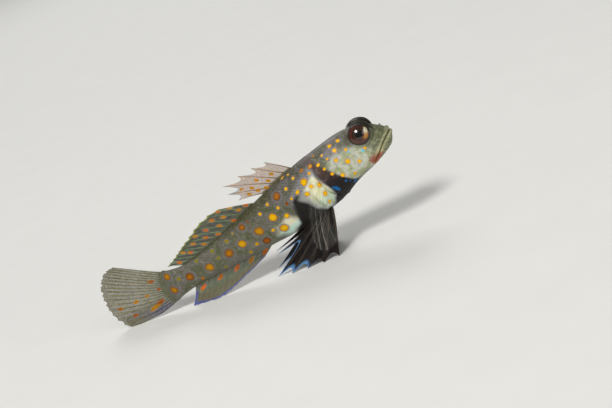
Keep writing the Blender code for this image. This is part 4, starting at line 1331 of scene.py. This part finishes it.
def fin_material(name, sheet, dark, rays, margin, spot, root, alpha, ray_alpha, margin_width=0.3,
                 margin_behind=False, tips=None, tips_from=0.5, low_edge=None, outer=None, shine=0.3):
    """Skin between rays, darker halfway between them, with a margin, spots, and its own root and tips."""
    paint = Paint(name)
    lie = paint.vector("lie")
    edge, out, across = paint.value("edge"), paint.value("out"), paint.value("across")
    cloud = paint.noise(lie, 0.9, 3)
    streak = paint.noise(lie, 3.0, 2)
    look = paint.over(sheet, dark, cloud, 0.38, 0.62)
    if outer:
        look = paint.over(look, outer, out, 0.3, 0.6)
    stripe = paint.fade("from_ray", 0.45, 0.95)
    look = paint.mix(paint.times(stripe, 0.55), look, dark)
    strength = paint.value("strength")
    look = paint.mix(strength, look, paint.mix(paint.fade(streak, 0.4, 0.75, 0.0, 0.5), rays, sheet))
    if low_edge:
        low = paint.times(paint.fade(across, 0.8, 0.95), paint.fade(out, 0.85, 0.3))
        look = paint.mix(paint.times(low, 0.85), look, low_edge)
    rim = paint.fade(edge, margin_width, margin_width * 0.35)
    if margin_behind:
        last_ray = paint.times(paint.fade(across, 0.95, 0.985), paint.fade(out, 0.1, 0.35))
        rim = paint.larger(rim, last_ray)
    look = paint.mix(rim, look, margin)
    look = paint.over(look, root, out, 0.22, 0.0, 0.85)
    marks = paint.fade("spot", -0.1, 0.2)
    look = paint.over(look, (150, 150, 140), "spot", -0.5, -0.1, 0.3)
    pale_spot = paint.fade(paint.noise(lie, 0.3, 1), 0.44, 0.58, 0.0, 0.8)
    look = paint.mix(marks, look, paint.mix(pale_spot, spot, (186, 132, 0)))
    swing = 0.25 * min(alpha, 1 - alpha)
    between = paint.fade(streak, 0.2, 0.8, alpha - swing, alpha + swing)
    clear = paint.larger(paint.times(strength, ray_alpha), between)
    clear = paint.larger(clear, paint.times(rim, min(1.0, alpha + 0.2)))
    clear = paint.larger(clear, paint.times(marks, 0.9))
    clear = paint.larger(clear, paint.fade(out, 0.14, 0.0, 0.0, 0.9))
    if tips:
        at_tip = paint.times(paint.fade(out, 0.9, 0.995), paint.fade(across, tips_from, tips_from + 0.12))
        look = paint.mix(at_tip, look, tips)
        clear = paint.larger(clear, paint.times(at_tip, 0.85))
    paint.finish(Base_Color=look, Alpha=clear, Roughness=0.42, Specular_IOR_Level=shine)
    paint.finish(Coat_Weight=0.05, Coat_Roughness=0.25, Subsurface_Weight=0.05, Subsurface_Scale=0.0005)
    return paint.material


def fin_materials():
    """The material of each kind of fin."""
    return {
        "first_dorsal": fin_material(
            "first_dorsal_skin", sheet=(172, 122, 56), dark=(128, 86, 38), rays=(138, 104, 54),
            margin=(146, 116, 64), spot=(206, 136, 0), root=(104, 104, 80), alpha=0.32,
            ray_alpha=0.75, margin_width=0.2, tips=(168, 184, 196), tips_from=0.55),
        "second_dorsal": fin_material(
            "second_dorsal_skin", sheet=(78, 84, 54), dark=(40, 44, 24), rays=(124, 146, 114),
            margin=(92, 116, 150), spot=(196, 98, 0), root=(78, 80, 50), alpha=0.74,
            ray_alpha=0.92, margin_width=0.24, tips=(150, 158, 60), tips_from=-0.2),
        "anal": fin_material(
            "anal_skin", sheet=(112, 124, 98), dark=(96, 106, 84), rays=(126, 136, 112),
            margin=(84, 94, 160), spot=(226, 108, 0), root=(116, 118, 100), alpha=0.76,
            ray_alpha=0.85, margin_width=1.3, margin_behind=True, outer=(116, 104, 74)),
        "caudal": fin_material(
            "caudal_skin", sheet=(112, 106, 62), dark=(80, 70, 36), rays=(134, 132, 90),
            margin=(120, 114, 80), spot=(158, 84, 14), root=(102, 106, 82), alpha=0.48,
            ray_alpha=0.78, margin_width=0.25, low_edge=(62, 60, 98)),
        "pectoral": fin_material(
            "pectoral_skin", sheet=(150, 148, 138), dark=(140, 136, 126), rays=(206, 206, 198),
            margin=(150, 148, 138), spot=(206, 140, 0), root=(206, 212, 178), alpha=0.025,
            ray_alpha=0.5, margin_width=0.05),
        "pelvic": fin_material(
            "pelvic_skin", sheet=(34, 29, 27), dark=(17, 14, 13), rays=(66, 58, 52),
            margin=(40, 35, 34), spot=(206, 140, 0), root=(24, 20, 19), alpha=1.0,
            ray_alpha=1.0, margin_width=0.3, tips=(96, 144, 192), tips_from=0.35,
            shine=0.1),
    }


def uneven(count, low, high, seed):
    """A function that gives each whole number below count its own value between two."""
    values = np.random.default_rng(seed).uniform(low, high, count)
    return lambda number: values[np.clip(number, 0, count - 1)]


def make_fins():
    """Every fin, each in place of its node."""
    skins = fin_materials()
    pieces = {
        "first_dorsal_fin": make_fin("first_dorsal_sail", first_dorsal_rays(), uneven(5, 0.2, 0.3, 1),
                                     skins["first_dorsal"], soft_from=9, radius=0.14, rows=44,
                                     spots=FIRST_DORSAL_SPOTS),
        "second_dorsal_fin": make_fin("second_dorsal_sail", second_dorsal_rays(), uneven(12, 0.03, 0.08, 2),
                                      skins["second_dorsal"], soft_from=1, radius=0.19, first_share=-0.25,
                                      spots=SECOND_DORSAL_SPOTS),
        "anal_fin": make_fin("anal_sail", anal_rays(), uneven(12, 0.02, 0.06, 3), skins["anal"],
                             soft_from=1, first_share=-0.2, spots=ANAL_SPOTS),
        "caudal_fin": make_fin("caudal_fan", caudal_rays(), uneven(16, 0.005, 0.035, 4), skins["caudal"],
                               radius=0.19, rows=44, first_share=-0.08, spots=CAUDAL_SPOTS),
    }
    for word, side in (("left", 1), ("right", -1)):
        pieces["pectoral_fin_" + word] = make_fin(
            "pectoral_fan_" + word, pectoral_rays(side), uneven(14, 0.02, 0.07, 5), skins["pectoral"],
            first_share=0.0, faint=True)
        pieces["pelvic_fin_" + word] = make_fin(
            "pelvic_fan_" + word, pelvic_rays(side), lambda ray: np.where(ray == 4, 0.45, 0.12),
            skins["pelvic"], soft_from=1, radius=0.3, rows=40, first_share=0.0, spread=0.2)
    return pieces


# Stage


def aim(thing, position, target, up=(0.0, 0.0, 1.0)):
    """Puts a camera or light at a position in mm, facing a target."""
    position, target = Vector(position) * MM, Vector(target) * MM
    back = (position - target).normalized()
    right = Vector(up).cross(back).normalized()
    turned = Matrix((right, back.cross(right), back)).transposed().to_4x4()
    turned.translation = position
    thing.matrix_world = turned


def add_light(name, position, target, size, power, tint=(1.0, 1.0, 1.0)):
    """A round soft light, its size in mm."""
    light = bpy.data.lights.new(name, "AREA")
    light.shape = "DISK"
    light.size = size * MM
    light.energy = power
    light.color = tint
    lamp = bpy.data.objects.new(name, light)
    bpy.context.scene.collection.objects.link(lamp)
    aim(lamp, position, target)


CAMERA_AT = (58.78, -343.63, 113.5)
CAMERA_TARGET = (16.13, -0.33, 14.0)
CAMERA_UP = (0.3757, 0.3007, 0.8766)
FLOOR_REACH = 4.0  # metres


def make_stage():
    camera = bpy.data.objects.new("photo_camera", bpy.data.cameras.new("photo_camera"))
    bpy.context.scene.collection.objects.link(camera)
    camera.data.lens = 85
    camera.data.sensor_width = 36
    camera.data.clip_start = 0.01
    aim(camera, CAMERA_AT, CAMERA_TARGET, CAMERA_UP)
    bpy.context.scene.camera = camera

    corners = FLOOR_REACH * np.array([(-1, -1, 0), (1, -1, 0), (1, 1, 0), (-1, 1, 0)])
    paint = Paint("studio_floor")
    place = paint.tree.nodes.new("ShaderNodeTexCoord").outputs["Object"]
    speckle = paint.noise(place, 60.0, 3)
    paint.finish(Base_Color=paint.mix(speckle, (234, 234, 231), (239, 239, 236)), Roughness=0.75)
    floor = new_piece("studio_floor", corners, [[0, 1, 2, 3]], paint.material, straight=False)

    world = bpy.data.worlds.new("studio")
    bpy.context.scene.world = world
    world.use_nodes = True
    sky = world.node_tree.nodes["Background"]
    sky.inputs["Color"].default_value = (1.0, 0.99, 0.97, 1.0)
    sky.inputs["Strength"].default_value = 0.25
    add_light("key", (-360, -900, 1290), (0, 0, 15), 450, 14.6, (1.0, 0.985, 0.96))
    add_light("fill", (1080, -990, 450), (0, 0, 15), 960, 5.1, (1.0, 1.0, 0.98))
    add_light("back", (-180, 1140, 990), (0, 0, 15), 780, 5.7)
    bpy.context.scene.view_settings.view_transform = "Standard"


def dress():
    """Every visible piece, on the frame."""
    skin = skin_material()
    coats = make_scales(skin)
    body = make_skin(skin)
    nostrils = make_nostrils(skin)
    rims = make_eye_rims(skin)
    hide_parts("head", "lower_jaw", "torso", "tail")
    for piece in (body, *coats, nostrils, rims):
        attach(piece, "root")
    iris = eye_material()
    for word, side in (("left", 1), ("right", -1)):
        eye = make_eye("eyeball_" + word, side, iris)
        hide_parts("eye_" + word)
        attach(eye, "root")
    for node, piece in make_fins().items():
        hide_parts(node)
        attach(piece, "root")


make_stage()
dress()
